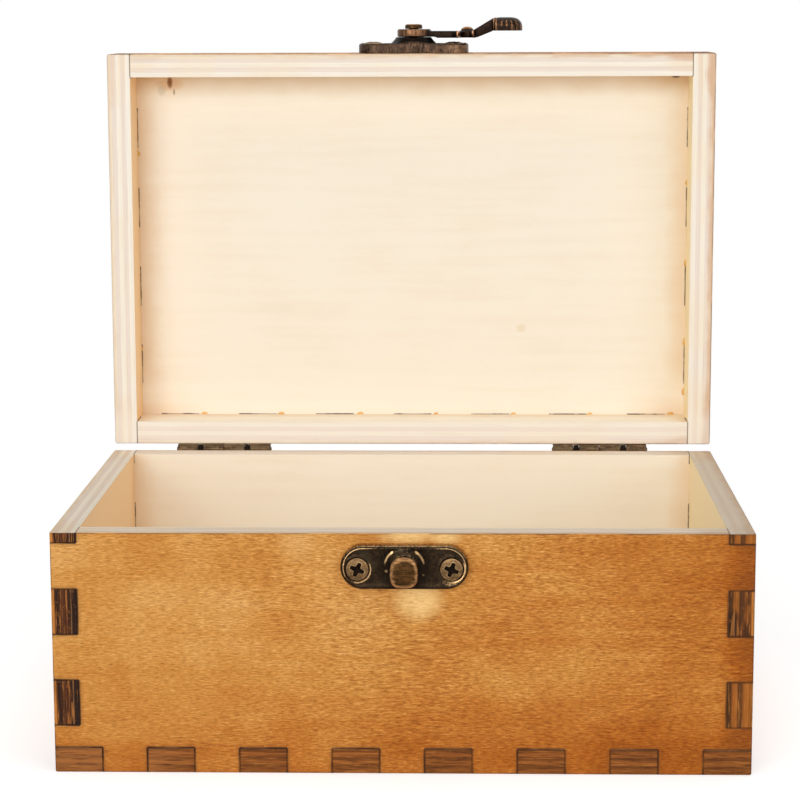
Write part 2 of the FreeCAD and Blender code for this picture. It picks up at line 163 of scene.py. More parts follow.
class Finish:
    """One finish of the box: a material and the nodes that paint it."""

    def __init__(self, name):
        self.material = bpy.data.materials.new(name)
        self.material.use_nodes = True
        self.tree = self.material.node_tree
        self.tree.nodes.clear()

    def node(self, kind, settings, inputs, output=0):
        """Adds a node. Its settings come first, then the values or links of its sockets."""
        made = self.tree.nodes.new("ShaderNode" + kind)
        for name, value in settings.items():
            if name == "stops":
                self.set_stops(made.color_ramp, value)
            else:
                setattr(made, name, value)
        for name, value in inputs.items():
            if isinstance(value, Amount):
                self.tree.links.new(value.socket, made.inputs[name])
            else:
                made.inputs[name].default_value = value
        return Amount(self, made.outputs[output]) if made.outputs else None

    def set_stops(self, ramp, stops):
        while len(ramp.elements) < len(stops):
            ramp.elements.new(1.0)
        for element, (position, colour) in zip(ramp.elements, stops):
            element.position = position
            element.color = colour

    def math(self, operation, *values):
        return self.node("Math", {"operation": operation}, dict(enumerate(values)))

    def least(self, *values):
        found = values[0]
        for value in values[1:]:
            found = self.math("MINIMUM", found, value)
        return found

    def most(self, *values):
        found = values[0]
        for value in values[1:]:
            found = self.math("MAXIMUM", found, value)
        return found

    def fade(self, value, start, end):
        """0 before start and 1 after end, with a soft change between them. The end may come first."""
        limits = {"Value": value, "From Min": start, "From Max": end}
        return self.node("MapRange", {"interpolation_type": "SMOOTHSTEP"}, limits)

    def object_place(self):
        return self.node("TexCoord", {}, {}, "Object")

    def stretched(self, place, scale, turn=(0.0, 0.0, 0.0), shift=(0.0, 0.0, 0.0)):
        sockets = {"Vector": place, "Location": shift, "Rotation": turn, "Scale": scale}
        return self.node("Mapping", {"vector_type": "POINT"}, sockets)

    def parts(self, place):
        return [self.node("SeparateXYZ", {}, {"Vector": place}, axis) for axis in "XYZ"]

    def grain(self, place, scale, detail=1.0, roughness=0.5):
        """Soft noise from 0 to 1, one period to a unit of the scaled place."""
        sockets = {
            "Vector": self.stretched(place, scale),
            "Scale": 1.0,
            "Detail": detail,
            "Roughness": roughness,
        }
        return self.node("TexNoise", {"noise_dimensions": "3D"}, sockets)

    def mix(self, share, first, second, blend="MIX"):
        settings = {"data_type": "RGBA", "blend_type": blend, "clamp_factor": True}
        return self.node("Mix", settings, {0: share, 6: first, 7: second}, 2)

    def ramp(self, value, stops):
        return self.node("ValToRGB", {"stops": stops}, {"Fac": value})

    def surface(self, colour, roughness, height, constants):
        """Closes the finish. height is the relief in millimetres."""
        bump = self.node("Bump", {}, {"Strength": 1.0, "Distance": 0.001, "Height": height})
        sockets = {"Base Color": colour, "Roughness": roughness, "Normal": bump, **constants}
        shader = self.node("BsdfPrincipled", {}, sockets)
        self.node("OutputMaterial", {}, {"Surface": shader})
        return self.material


def tenon_marks(along, count, middle, width, pitch):
    """Whether a place along an edge is in a tenon, and how far it is from the nearest side of one."""
    finish = along.finish
    step = (along - middle) / pitch + (count - 1) / 2
    nearest = finish.least(finish.most(finish.math("ROUND", step), 0), count - 1)
    away = abs(step - nearest) * pitch
    return away < width / 2, abs(away - width / 2)


# Noise periods to a millimetre along X, Y and Z, by the direction through the board
FACE_GRAIN = {"x": (1.0, 0.42, 4.3), "y": (0.42, 1.0, 4.3), "z": (0.42, 4.3, 1.0)}
FIBRE_GRAIN = {"x": (1.0, 0.80, 3.0), "y": (0.80, 1.0, 3.0), "z": (0.80, 3.0, 1.0)}
LONG_GRAIN = {"x": (1.0, 0.02, 0.42), "y": (0.02, 1.0, 0.42), "z": (0.02, 0.42, 1.0)}
PORE_GRAIN = {"x": (1.0, 0.75, 4.2), "y": (0.75, 1.0, 4.2), "z": (0.75, 4.2, 1.0)}
PLY_LINES = {"x": (2.6, 0.16, 0.16), "y": (0.16, 2.6, 0.16), "z": (0.16, 0.16, 2.6)}
SAW_MARKS = {"x": (3.2, 0.05, 1.0), "y": (0.05, 3.2, 1.0), "z": (1.0, 1.0, 1.0)}

STAIN = [
    (0.10, tint(229, 172, 98)),
    (0.36, tint(211, 146, 68)),
    (0.58, tint(195, 121, 47)),
    (0.80, tint(177, 99, 27)),
    (1.00, tint(152, 81, 22)),
]
BURNT_PLIES = [
    (0.00, tint(214, 140, 66)),
    (0.11, tint(198, 122, 54)),
    (0.155, tint(70, 38, 20)),
    (0.22, tint(48, 26, 14)),
    (0.36, tint(68, 37, 20)),
    (0.42, tint(92, 52, 28)),
    (0.56, tint(72, 37, 18)),
    (0.61, tint(112, 64, 33)),
    (0.66, tint(50, 27, 15)),
    (0.74, tint(54, 31, 18)),
    (0.775, tint(150, 106, 68)),
    (0.80, tint(48, 28, 17)),
    (1.00, tint(32, 19, 12)),
]
BROWNED_PLIES = [
    (0.00, tint(92, 52, 20)),
    (0.06, tint(148, 86, 30)),
    (0.14, tint(164, 96, 36)),
    (0.22, tint(172, 104, 41)),
    (0.37, tint(158, 90, 33)),
    (0.42, tint(102, 60, 25)),
    (0.58, tint(94, 56, 25)),
    (0.63, tint(168, 99, 38)),
    (0.79, tint(153, 87, 32)),
    (0.84, tint(88, 52, 23)),
    (1.00, tint(64, 38, 18)),
]
LEVEL_PLIES = [
    (0.00, tint(112, 64, 26)),
    (0.16, tint(144, 84, 35)),
    (0.30, tint(112, 65, 27)),
    (0.46, tint(158, 94, 41)),
    (0.60, tint(108, 62, 26)),
    (0.76, tint(154, 90, 39)),
    (0.90, tint(128, 73, 29)),
    (1.00, tint(96, 56, 24)),
]
SAWN_PLIES = [
    (0.00, tint(243, 222, 186)),
    (0.15, tint(248, 231, 202)),
    (0.19, tint(238, 219, 203)),
    (0.36, tint(240, 222, 208)),
    (0.40, tint(254, 244, 226)),
    (0.56, tint(252, 240, 220)),
    (0.60, tint(238, 218, 202)),
    (0.77, tint(242, 225, 210)),
    (0.81, tint(254, 245, 230)),
    (1.00, tint(250, 237, 218)),
]
DRIED_GLUE = [(0.3, tint(246, 206, 128)), (0.7, tint(222, 158, 66))]
BARE_WOOD = [(0.20, tint(246, 229, 202)), (0.50, tint(254, 243, 224)), (0.85, tint(255, 248, 233))]
LIGHT_FIBRE = (1.36, 1.60, 2.20, 1.0)  # times the stain
DARK_FIBRE = (0.60, 0.45, 0.31, 1.0)
GLOW_SPOTS = [  # painted pools of light on the front: across, up, half width, half height, how much
    (4.2, 41.4, 6.8, 6.8, 0.95),
    (9.8, 55.6, 4.6, 3.2, 0.9),
    (1.2, 55.8, 9.5, 2.6, 0.9),
    (-24.0, 55.0, 6.0, 6.0, 0.3),
]
LID_MARKS = [  # inside the lid: across, back, half width, half height, how much, colour
    (-65.0, -43.9, 4.0, 1.9, 0.5, (226, 176, 120)),
    (-65.0, -44.3, 0.8, 1.7, 0.9, (140, 84, 40)),
    (70.6, -45.6, 1.2, 0.5, 0.9, (84, 56, 30)),
    (-67.2, -42.2, 1.3, 1.5, 0.35, (196, 186, 160)),
    (-63.9, -41.7, 0.35, 0.9, 0.6, (140, 100, 60)),
    (29.6, 22.2, 1.5, 1.3, 0.3, (226, 196, 146)),
]
CHAR = tint(40, 25, 18)
BROWN_CHAR = tint(92, 54, 24)
SCORCH = tint(128, 76, 36)
DARK_ARRIS = tint(88, 50, 26)
# colour of the painted pools of light on the front
GLOW_TINT = tint(252, 207, 134)
PORE = tint(112, 62, 24)
PALE_PLY = tint(198, 132, 78)
DARK_PLY_LINE = tint(84, 46, 20)
LIGHT_PLY_LINE = tint(188, 120, 56)
PLY_FLECK = tint(150, 92, 38)
BROWN_SOOT = tint(84, 50, 22)
BLACK_SOOT = tint(34, 19, 11)
# tan towards the inner corners: aged wood and painted shade
AGED_AND_SHADED_CORNER = tint(232, 190, 138)
# tints of the inner side walls: painted shade
RIGHT_WALL_SHADE = tint(255, 228, 150)
LEFT_WALL_SHADE = tint(251, 202, 139)
OPEN_JOINT = tint(62, 40, 26)
SAW_MARK = tint(216, 190, 162)
SAWN_CLOUD = tint(250, 222, 176)
AMBER = tint(244, 196, 116)
CREPT_STAIN = tint(206, 142, 78)
PALE_RIM = tint(255, 248, 236)
# grey cast of the base's rim: dust and painted shade
RIM_DUST_AND_SHADE = tint(190, 172, 150)
RIM_JOINT = tint(96, 66, 44)
# colour of grime and of painted shade on the metal
GRIME_AND_SHADE_COLOUR = tint(14, 11, 9)


def plywood(name, across, in_lid):
    """Stained, laser-cut and sawn plywood. across is the direction through the board's thickness."""
    finish = Finish(name)
    fade, least, most = finish.fade, finish.least, finish.most
    turn, shift = (0.0, 0.0, 0.0), (0.0, 0.0, 0.0)
    if in_lid:
        turn = (math.pi / 2, 0.0, 0.0)
        shift = (0.0, hinge_axis_y + hinge_axis_z, hinge_axis_z - hinge_axis_y + saw_kerf - rim_gap)
    place = finish.stretched(finish.object_place(), (1000.0,) * 3, turn, shift)
    x, y, z = finish.parts(place)
    half_height = glued_height / 2
    in_x = box_width / 2 - abs(x)
    in_y = box_depth / 2 - abs(y)
    in_z = half_height - abs(z - half_height)
    through = {"x": in_x, "y": in_y, "z": in_z}[across]
    rim_z = base_height + saw_kerf if in_lid else base_height
    from_rim = abs(z - rim_z)

    # Where the laser cut: distance to the nearest line between two boards
    marks = {axis: tenon_marks(along, *tenons[axis]) for axis, along in zip("xyz", (x, y, z))}
    tenon_x, side_x = marks["x"]
    tenon_y, side_y = marks["y"]
    tenon_z, side_z = marks["z"]
    on_ends = least(
        abs(in_x - board_thickness) + FAR * (1 - tenon_z),
        side_z + FAR * (in_x > board_thickness),
        abs(in_z - board_thickness) + FAR * tenon_x,
        side_x + FAR * (in_z > board_thickness),
    )
    on_sides = least(
        abs(in_y - board_thickness) + FAR * tenon_z + FAR * (in_z < board_thickness),
        side_z + FAR * (in_y > board_thickness),
        abs(in_z - board_thickness) + FAR * tenon_y,
        side_y + FAR * (in_z > board_thickness),
    )
    on_levels = least(
        abs(in_y - board_thickness) + FAR * (1 - tenon_x),
        side_x + FAR * (in_y > board_thickness),
        abs(in_x - board_thickness) + FAR * (1 - tenon_y),
        side_y + FAR * (in_x > board_thickness),
    )
    skin = 0.6
    seam = least(
        on_ends + FAR * (in_y > skin), on_sides + FAR * (in_x > skin), on_levels + FAR * (in_z > skin)
    )
    wander = finish.grain(place, (0.14, 0.14, 0.14), 2.0)
    line = fade(seam, 0.28 + 0.16 * wander, 0.07)
    scorch = fade(seam, 1.9 * wander + 0.2, 0.15)
    corner_gap = {
        "x": least(in_y + FAR * (1 - tenon_z), in_z + FAR * (1 - tenon_y)),
        "y": least(in_x + FAR * (1 - tenon_z), in_z + FAR * (1 - tenon_x)),
        "z": least(in_x + FAR * (1 - tenon_y), in_y + FAR * (1 - tenon_x)),
    }[across]

    # Stained face veneer
    wavy = finish.node(
        "VectorMath",
        {"operation": "MULTIPLY_ADD"},
        {
            0: finish.node("TexNoise", {}, {"Vector": place, "Scale": 0.035, "Detail": 1.0}, "Color"),
            1: (1.7, 1.7, 1.7),
            2: place,
        },
    )
    dashes = finish.grain(wavy, FACE_GRAIN[across], 3.0, 0.62)
    bands = finish.grain(wavy, LONG_GRAIN[across], 2.0)
    fibre = finish.grain(wavy, FIBRE_GRAIN[across], 2.0, 0.6)
    cloud = finish.grain(place, (0.045, 0.045, 0.06), 2.0, 0.55)
    pores = finish.grain(wavy, PORE_GRAIN[across], 0.0)
    # The stain is darker towards the bottom and, on the front and rear boards, towards the right and the
    # right-hand edge: painted shade
    painted_shade_drift = 0.27 * fade(z, 26, 2)
    if across == "y":
        painted_shade_drift = painted_shade_drift + 0.08 * fade(x, -70, 20) + 0.17 * fade(x, 5, 75)
        painted_shade_drift = painted_shade_drift + 0.38 * fade(in_x, 10, 0) * fade(x, 20, 70)
    depth = 0.32 + 0.66 * (cloud - 0.5) + 0.22 * (bands - 0.5) + painted_shade_drift
    stained = finish.ramp(depth, STAIN)
    # Pale patches on the front, where the grain also fades: painted pools of light
    wear_and_sheen = 0.0
    for spot_x, spot_z, wide, tall, strength in GLOW_SPOTS if across == "y" else ():
        away = (((x - spot_x) / wide) ** 2 + ((z - spot_z) / tall) ** 2) ** 0.5 + FAR * (y > 0)
        spot = strength * fade(away + 0.75 * (cloud - 0.5) + 0.45 * (fibre - 0.5), 1.0, 0.15)
        wear_and_sheen = most(wear_and_sheen, spot)
        stained = finish.mix(spot, stained, GLOW_TINT)
    for noise, share in ((dashes, 0.58), (fibre, 0.54)):
        if across == "y":
            share = share * (0.72 + 0.36 * fade(x, -60, -5))
        dark = share * (1 - 0.62 * wear_and_sheen)
        light = share * (1 - 0.80 * wear_and_sheen)
        stained = finish.mix(dark * fade(noise, 0.50, 0.34), stained, DARK_FIBRE, "MULTIPLY")
        stained = finish.mix(light * fade(noise, 0.53, 0.68), stained, LIGHT_FIBRE, "MULTIPLY")
    stained = finish.mix(0.45 * fade(pores, 0.71, 0.79), stained, PORE)
    stained = finish.mix(0.30 * scorch, stained, SCORCH)

    # Laser-burnt ends of the fingers, ply by ply
    lines = finish.grain(place, PLY_LINES[across], 2.0, 0.65)
    flecks = finish.grain(place, (1.3, 1.3, 1.3), 2.0, 0.6)
    ply = through / board_thickness + 0.05 * (lines - 0.5)
    heat = fade(x + 30 * (wander - 0.5), 46, -20)
    if across == "x":
        heat = most(heat, 0.9 * fade(z, 28, 33) * fade(z, 48, 44) * fade(wander, 0.34, 0.60))
    if across == "z":
        burnt = finish.ramp(ply, LEVEL_PLIES)
        burnt = finish.mix(0.28 * fade(x, -46, -60), burnt, PALE_PLY)
        burnt = finish.mix(0.75 * fade(lines, 0.48, 0.36), burnt, DARK_PLY_LINE)
    else:
        burnt = finish.mix(heat, finish.ramp(ply, BROWNED_PLIES), finish.ramp(ply, BURNT_PLIES))
        soot = finish.mix(heat, BROWN_SOOT, BLACK_SOOT)
        burnt = finish.mix((0.35 + 0.35 * heat) * fade(lines, 0.47, 0.33), burnt, soot)
    burnt = finish.mix(0.60 * fade(lines, 0.56, 0.68), burnt, LIGHT_PLY_LINE)
    burnt = finish.mix(0.40 * fade(flecks, 0.58, 0.72), burnt, PLY_FLECK)

    # Bare inner face, tanned towards its corners and on the side walls, partly with painted shade
    bare_tone = 0.5 + 0.24 * (cloud - 0.5) + 0.26 * (bands - 0.5) + 0.18 * (dashes - 0.5)
    bare = finish.ramp(bare_tone, BARE_WOOD)
    sideways = {"x": (in_y, in_z), "y": (in_x, in_z), "z": (in_x, in_y)}[across]
    corner = least(*sideways) - board_thickness
    # Tan towards the inner corners: partly aged wood and partly painted shade
    age_and_shade_share = 0.42 * fade(corner + 5 * (wander - 0.5), 7.0, 0.0)
    # Inside the lid the tan runs along the side walls: stain and painted shade
    if across == "z" and in_lid:
        from_side, from_wall = in_x - board_thickness, in_y - board_thickness
        age_and_shade_share = age_and_shade_share * fade(y, 44, 30) + 0.40 * fade(from_side, 20, 0) * fade(from_wall, 6, 0)
    age_and_shade_tint = AGED_AND_SHADED_CORNER
    # Each inner side wall is tinted all over, the left one more: painted shade
    if across == "x":
        age_and_shade_share = 0.43 + 0.27 * (x < 0) + 0.3 * age_and_shade_share
        age_and_shade_tint = finish.mix(x < 0, RIGHT_WALL_SHADE, LEFT_WALL_SHADE)
    bare = finish.mix(age_and_shade_share, bare, age_and_shade_tint)
    patchy = finish.grain(place, (0.35, 0.35, 0.35), 2.0)
    gap = fade(corner_gap - board_thickness, 0.16 + 0.40 * patchy, 0.05)
    bare = finish.mix(gap * (0.55 + 0.40 * fade(patchy, 0.40, 0.60)), bare, OPEN_JOINT)

    # Sawn rim, where the stain has crept in from the outside
    saw = finish.grain(place, SAW_MARKS[across], 2.0)
    sawn = finish.ramp(through / board_thickness + 0.04 * (saw - 0.5), SAWN_PLIES)
    sawn = finish.mix(0.28 * fade(saw, 0.5, 0.3), sawn, SAW_MARK)
    sawn = finish.mix(0.30 * fade(cloud + 0.3 * (saw - 0.5), 0.52, 0.66), sawn, SAWN_CLOUD)
    right_side = fade(x, 60, 79)
    rightness = fade(x, -78, 60)
    near_joint = fade(most(in_x, in_y) + 6 * (wander - 0.5), 16, 7)
    from_core = abs(through / board_thickness - 0.5 - 0.2 * (wander - 0.5))
    amber = fade(from_core, 0.36, 0.26) * fade(saw, 0.40, 0.62)
    sawn = finish.mix(0.42 * near_joint * amber, sawn, AMBER)
    soak = through + 2.4 * (wander - 0.5) + 1.4 * (saw - 0.5) - 0.5 * right_side - 0.9 * near_joint
    creep = fade(soak, 1.5, -0.3) * (0.30 + 0.50 * rightness)
    sawn = finish.mix(creep, sawn, CREPT_STAIN)
    if in_lid:
        sawn = finish.mix(0.25 + 0.30 * fade(y, 40, 47), sawn, PALE_RIM)
    else:
        # The base's rim is greyed and darkened, most at its right end: dust and painted shade of an
        # up-facing rim
        dust_and_shade = 0.31 + 0.42 * right_side + 0.06 * fade(y, -40, -47) - 0.14 * fade(y, 40, 47)
        sawn = finish.mix(dust_and_shade, sawn, RIM_DUST_AND_SHADE)
    rim_seam = abs(in_x - board_thickness) + FAR * (in_y > board_thickness)
    sawn = finish.mix(0.8 * fade(rim_seam, 0.20, 0.06), sawn, RIM_JOINT)

    # Which of the four a place is
    outside = fade(through, 0.45, 0.12)
    inside = fade(through, board_thickness - 0.06, board_thickness - 0.01)
    rim = fade(from_rim, 0.16, 0.05)
    second = most(least(in_x, in_y), least(most(in_x, in_y), least(in_z, from_rim)))
    arris = fade(second, 0.42, 0.10) * fade(wander, 0.30, 0.55) * (1 - rim * (0.8 - 0.6 * rightness))
    colour = finish.mix(outside, burnt, stained)
    colour = finish.mix(inside, colour, bare)
    if across == "z":
        if in_lid:
            for mark_x, mark_y, wide, tall, strength, shade in LID_MARKS:
                away = ((x - mark_x) / wide) ** 2 + ((y - mark_y) / tall) ** 2
                blot = inside * strength * fade(away + 0.9 * (dashes - 0.5), 1.3, 0.1)
                colour = finish.mix(blot, colour, tint(*shade))
    else:
        colour = finish.mix(rim, colour, sawn)
    colour = finish.mix(0.70 * arris, colour, DARK_ARRIS)
    char = finish.mix(0.60 * rightness, CHAR, BROWN_CHAR)
    colour = finish.mix((0.62 + 0.34 * fade(wander, 0.38, 0.60)) * line * (1 - rim), colour, char)
    relief = outside * (0.018 * dashes + 0.016 * fibre) + (1 - outside) * (0.045 * lines)
    relief = relief - 0.10 * line - 0.05 * pores * outside
    roughness = 0.60 - 0.14 * outside + 0.12 * (dashes - 0.5) + 0.20 * line
    return finish.surface(colour, roughness, relief, {"Metallic": 0.0, "Specular IOR Level": 0.12})


def aged_metal(name, dark, brown, tarnish, bright, stretch, smooth):
    """Blackened metal. Where the mesh marks it, it is made bright, for rubbed edges and painted highlights,
    and dark, for grime and painted shade.
    """
    finish = Finish(name)
    fade = finish.fade
    place = finish.stretched(finish.object_place(), (1000.0,) * 3)
    worn = finish.node("Attribute", {"attribute_name": "worn"}, {}, "Fac")
    sunk = finish.node("Attribute", {"attribute_name": "sunk"}, {}, "Fac")
    mottle = finish.grain(place, (1.1, 1.1, 1.1), 3.0, 0.6)
    patch = finish.grain(place, (0.31, 0.37, 0.33), 2.0)
    drawn = finish.grain(place, stretch, 2.0, 0.6)
    colour = finish.mix(fade(0.5 * mottle + 0.5 * drawn, 0.38, 0.62), dark, brown)
    colour = finish.mix(0.7 * fade(patch, 0.50, 0.66), colour, tarnish)
    rub_and_shine = fade(worn + 0.45 * (drawn - 0.5) + 0.25 * (mottle - 0.5), 0.28, 0.85)
    colour = finish.mix(rub_and_shine, colour, bright)
    # darker with grime and painted shade
    colour = finish.mix(0.95 * fade(sunk + 0.3 * (mottle - 0.5), 0.2, 0.9), colour, GRIME_AND_SHADE_COLOUR)
    roughness = smooth + 0.22 * mottle + 0.14 * drawn - 0.08 * rub_and_shine + 0.12 * sunk
    relief = 0.022 * drawn + 0.020 * mottle
    return finish.surface(colour, roughness, relief, {"Metallic": 1.0})


def glue_finish(name):
    """Wood glue that squeezed out and dried amber."""
    finish = Finish(name)
    place = finish.stretched(finish.object_place(), (1000.0,) * 3)
    cloud = finish.grain(place, (0.8, 0.8, 0.8), 2.0)
    colour = finish.ramp(cloud, DRIED_GLUE)
    constants = {"Metallic": 0.0, "Subsurface Weight": 0.15, "Subsurface Radius": (0.002, 0.001, 0.0005)}
    return finish.surface(colour, 0.22 + 0.15 * cloud, 0.03 * cloud, constants)


ALONG_Y = (2.6, 0.35, 2.6)
ALONG_Z = (4.4, 4.4, 0.3)
ALONG_X = (0.35, 2.6, 2.6)


def mesh_object(name, points, faces, painted, place, finish):
    """Makes a piece from points in millimetres. place sets it where it belongs.
    painted holds its attributes, a value to a point."""
    mesh = bpy.data.meshes.new(name)
    if place.determinant() < 0:
        faces = [tuple(reversed(face)) for face in faces]
    mesh.from_pydata([place @ Vector(point) * 0.001 for point in points], [], faces)
    for attribute, values in painted.items():
        layer = mesh.attributes.new(attribute, "FLOAT", "POINT")
        layer.data.foreach_set("value", np.asarray(values, np.float32))
    mesh.shade_smooth()
    mesh.set_sharp_from_angle(angle=math.radians(38))
    mesh.materials.append(finish)
    mesh.update()
    piece = bpy.data.objects.new(name, mesh)
    bpy.context.scene.collection.objects.link(piece)
    return piece


def outline_at(shape, level, span, step=0.17):
    """Points and edges of the line on which shape(x, y) has the value level."""
    xs = np.arange(span[0][0] - step, span[0][1] + 2 * step, step)
    ys = np.arange(span[1][0] - step, span[1][1] + 2 * step, step)
    value = shape(*np.meshgrid(xs, ys, indexing="ij")) - level
    inside = value < 0
    cells = inside[:-1, :-1].astype(int) + inside[1:, :-1] + inside[:-1, 1:] + inside[1:, 1:]
    points, numbers, edges = [], {}, []

    def crossing(a, b):
        if (a, b) not in numbers:
            share = value[a] / (value[a] - value[b])
            numbers[a, b] = len(points)
            across = xs[a[0]] + share * (xs[b[0]] - xs[a[0]])
            up = ys[a[1]] + share * (ys[b[1]] - ys[a[1]])
            points.append((across, up))
        return numbers[a, b]

    for i, j in np.argwhere((cells > 0) & (cells < 4)):
        i, j = int(i), int(j)
        low_left, low_right, high_left, high_right = (i, j), (i + 1, j), (i, j + 1), (i + 1, j + 1)
        sides = [
            (low_left, low_right), (low_right, high_right), (high_left, high_right), (low_left, high_left),
        ]
        met = [crossing(a, b) for a, b in sides if inside[a] != inside[b]]
        edges += [tuple(met[k:k + 2]) for k in range(0, len(met), 2)]
    return points, edges


def stamped(name, shape, span, insets, features, top, bottom, paint, place, finish, fill=0.8):
    """A piece seen in plan: its edge is where shape is 0, its faces are at top and bottom of (x, y, inset).
    insets and features are the lines that its mesh has to follow. paint gives how bright its top is made,
    for wear and painted highlights, and how dark, for grime and painted shade."""
    lines = [(shape, -inset) for inset in (0.0, *insets)]
    lines += [(feature, level) for feature, levels in features for level in levels]
    points, edges = [], []
    for field, level in lines:
        found, joins = outline_at(field, level, span)
        edges += [(a + len(points), b + len(points)) for a, b in joins]
        points += found
    rows = np.arange(span[1][0], span[1][1], fill * 0.87)
    for number, row in enumerate(rows):
        start = span[0][0] + 0.5 * fill * (number % 2)
        points += [(column, row) for column in np.arange(start, span[0][1], fill)]
    flat, _, triangles, _, _, _ = delaunay_2d_cdt([Vector(p) for p in points], edges, [], 0, 1e-4)
    x, y = np.array([tuple(p) for p in flat]).T
    corners = np.array([tuple(t) for t in triangles])
    kept = corners[shape(x[corners].mean(1), y[corners].mean(1)) < 0]
    used, kept = np.unique(kept, return_inverse=True)
    kept = kept.reshape(-1, 3)
    x, y = x[used], y[used]
    inset = np.maximum(0.0, -shape(x, y))
    count = len(used)
    upper = np.stack([x, y, top(x, y, inset)], 1)
    lower = np.stack([x, y, bottom(x, y, inset)], 1)
    ways = {(a, b) for t in kept.tolist() for a, b in ((t[0], t[1]), (t[1], t[2]), (t[2], t[0]))}
    rim = [(a, b) for a, b in sorted(ways) if (b, a) not in ways]
    faces = kept.tolist() + [(c + count, b + count, a + count) for a, b, c in kept.tolist()]
    faces += [(b, a, a + count, b + count) for a, b in rim]
    worn, sunk = paint(x, y, inset)
    edge_wear_and_highlight = np.where(inset < 1e-3, worn, 0.0)
    painted = {"worn": np.concatenate([worn, edge_wear_and_highlight]), "sunk": np.concatenate([sunk, np.zeros(count)])}
    return mesh_object(name, np.concatenate([upper, lower]).tolist(), faces, painted, place, finish)


def turned_piece(name, rings, place, finish, around=48, stretch=1.0, narrowing=0.0):
    """A piece of revolution from its foot up. Its rings are (height, radius, squareness, brightening for
    wear and painted highlight, darkening for grime and painted shade).
    A squareness of 2 is round, and more is squarer. Squarish rings are stretched along Y and narrow
    towards it."""
    angles = np.arange(around) * 2 * math.pi / around
    points, worn, sunk, faces = [], [], [], []
    for height, radius, square, wear_and_sheen, grime_and_shade_level in rings:
        reach = radius / (abs(np.cos(angles)) ** square + abs(np.sin(angles)) ** square) ** (1 / square)
        long, slim = (stretch, narrowing) if square > 2 else (1.0, 0.0)
        points += [
            (r * math.cos(a) * (1 - slim * max(0.0, math.sin(a)) ** 1.5), long * r * math.sin(a), height)
            for r, a in zip(reach, angles)
        ]
        worn += [wear_and_sheen] * around
        sunk += [grime_and_shade_level] * around
    for ring in range(len(rings) - 1):
        low = ring * around
        for k in range(around):
            after = (k + 1) % around
            faces.append((low + k, low + after, low + around + after, low + around + k))
    for ring, order in ((0, -1), (len(rings) - 1, 1)):
        points.append((0.0, 0.0, rings[ring][0]))
        worn.append(rings[ring][3])
        sunk.append(rings[ring][4])
        for k in range(around):
            pair = [ring * around + k, ring * around + (k + 1) % around][::order]
            faces.append((*pair, len(points) - 1))
    return mesh_object(name, points, faces, {"worn": worn, "sunk": sunk}, place, finish)


def round_over(inset, radius):
    """How far a rounded edge falls below the face at this inset from the outline."""
    left = np.clip(1 - inset / radius, 0, 1)
    return radius * (1 - np.sqrt(1 - left**2))


def between(value, start, end):
    """0 before start and 1 after end, with a soft change between them. The end may come first."""
    share = np.clip((value - start) / (end - start), 0, 1)
    return share * share * (3 - 2 * share)


def bar(x, y, half_x, half_y, corner):
    """Distance to a rounded rectangle about the middle, below 0 inside it."""
    over_x = np.abs(x) - (half_x - corner)
    over_y = np.abs(y) - (half_y - corner)
    outside = np.hypot(np.maximum(over_x, 0), np.maximum(over_y, 0))
    return outside + np.minimum(np.maximum(over_x, over_y), 0) - corner


def merged(first, second, soft):
    """Union of two shapes with a small fillet where they meet."""
    share = np.clip(0.5 + 0.5 * (second - first) / soft, 0, 1)
    return second + (first - second) * share - soft * share * (1 - share)


def in_closed_lid():
    """Takes a piece from its place on the closed box to its place on the open lid."""
    hinge = Matrix.Translation((0, hinge_axis_y, hinge_axis_z))
    return hinge @ Matrix.Rotation(-math.pi / 2, 4, "X") @ hinge.inverted()


def on_front(height):
    """The middle of the latch on the front at this height: X to the right, Y up and Z outwards."""
    return Matrix.Translation((latch_x, -box_depth / 2, height)) @ Matrix.Rotation(math.pi / 2, 4, "X")


ON_BASE_FRONT = on_front(catch_z)
ON_LID_FRONT = in_closed_lid() @ on_front(latch_z)


def settle(piece, body, slot, *nodes):
    """Lets a finished piece ride on its body and stand for its CAD nodes."""
    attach(piece, body)
    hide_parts(*nodes)
    return piece


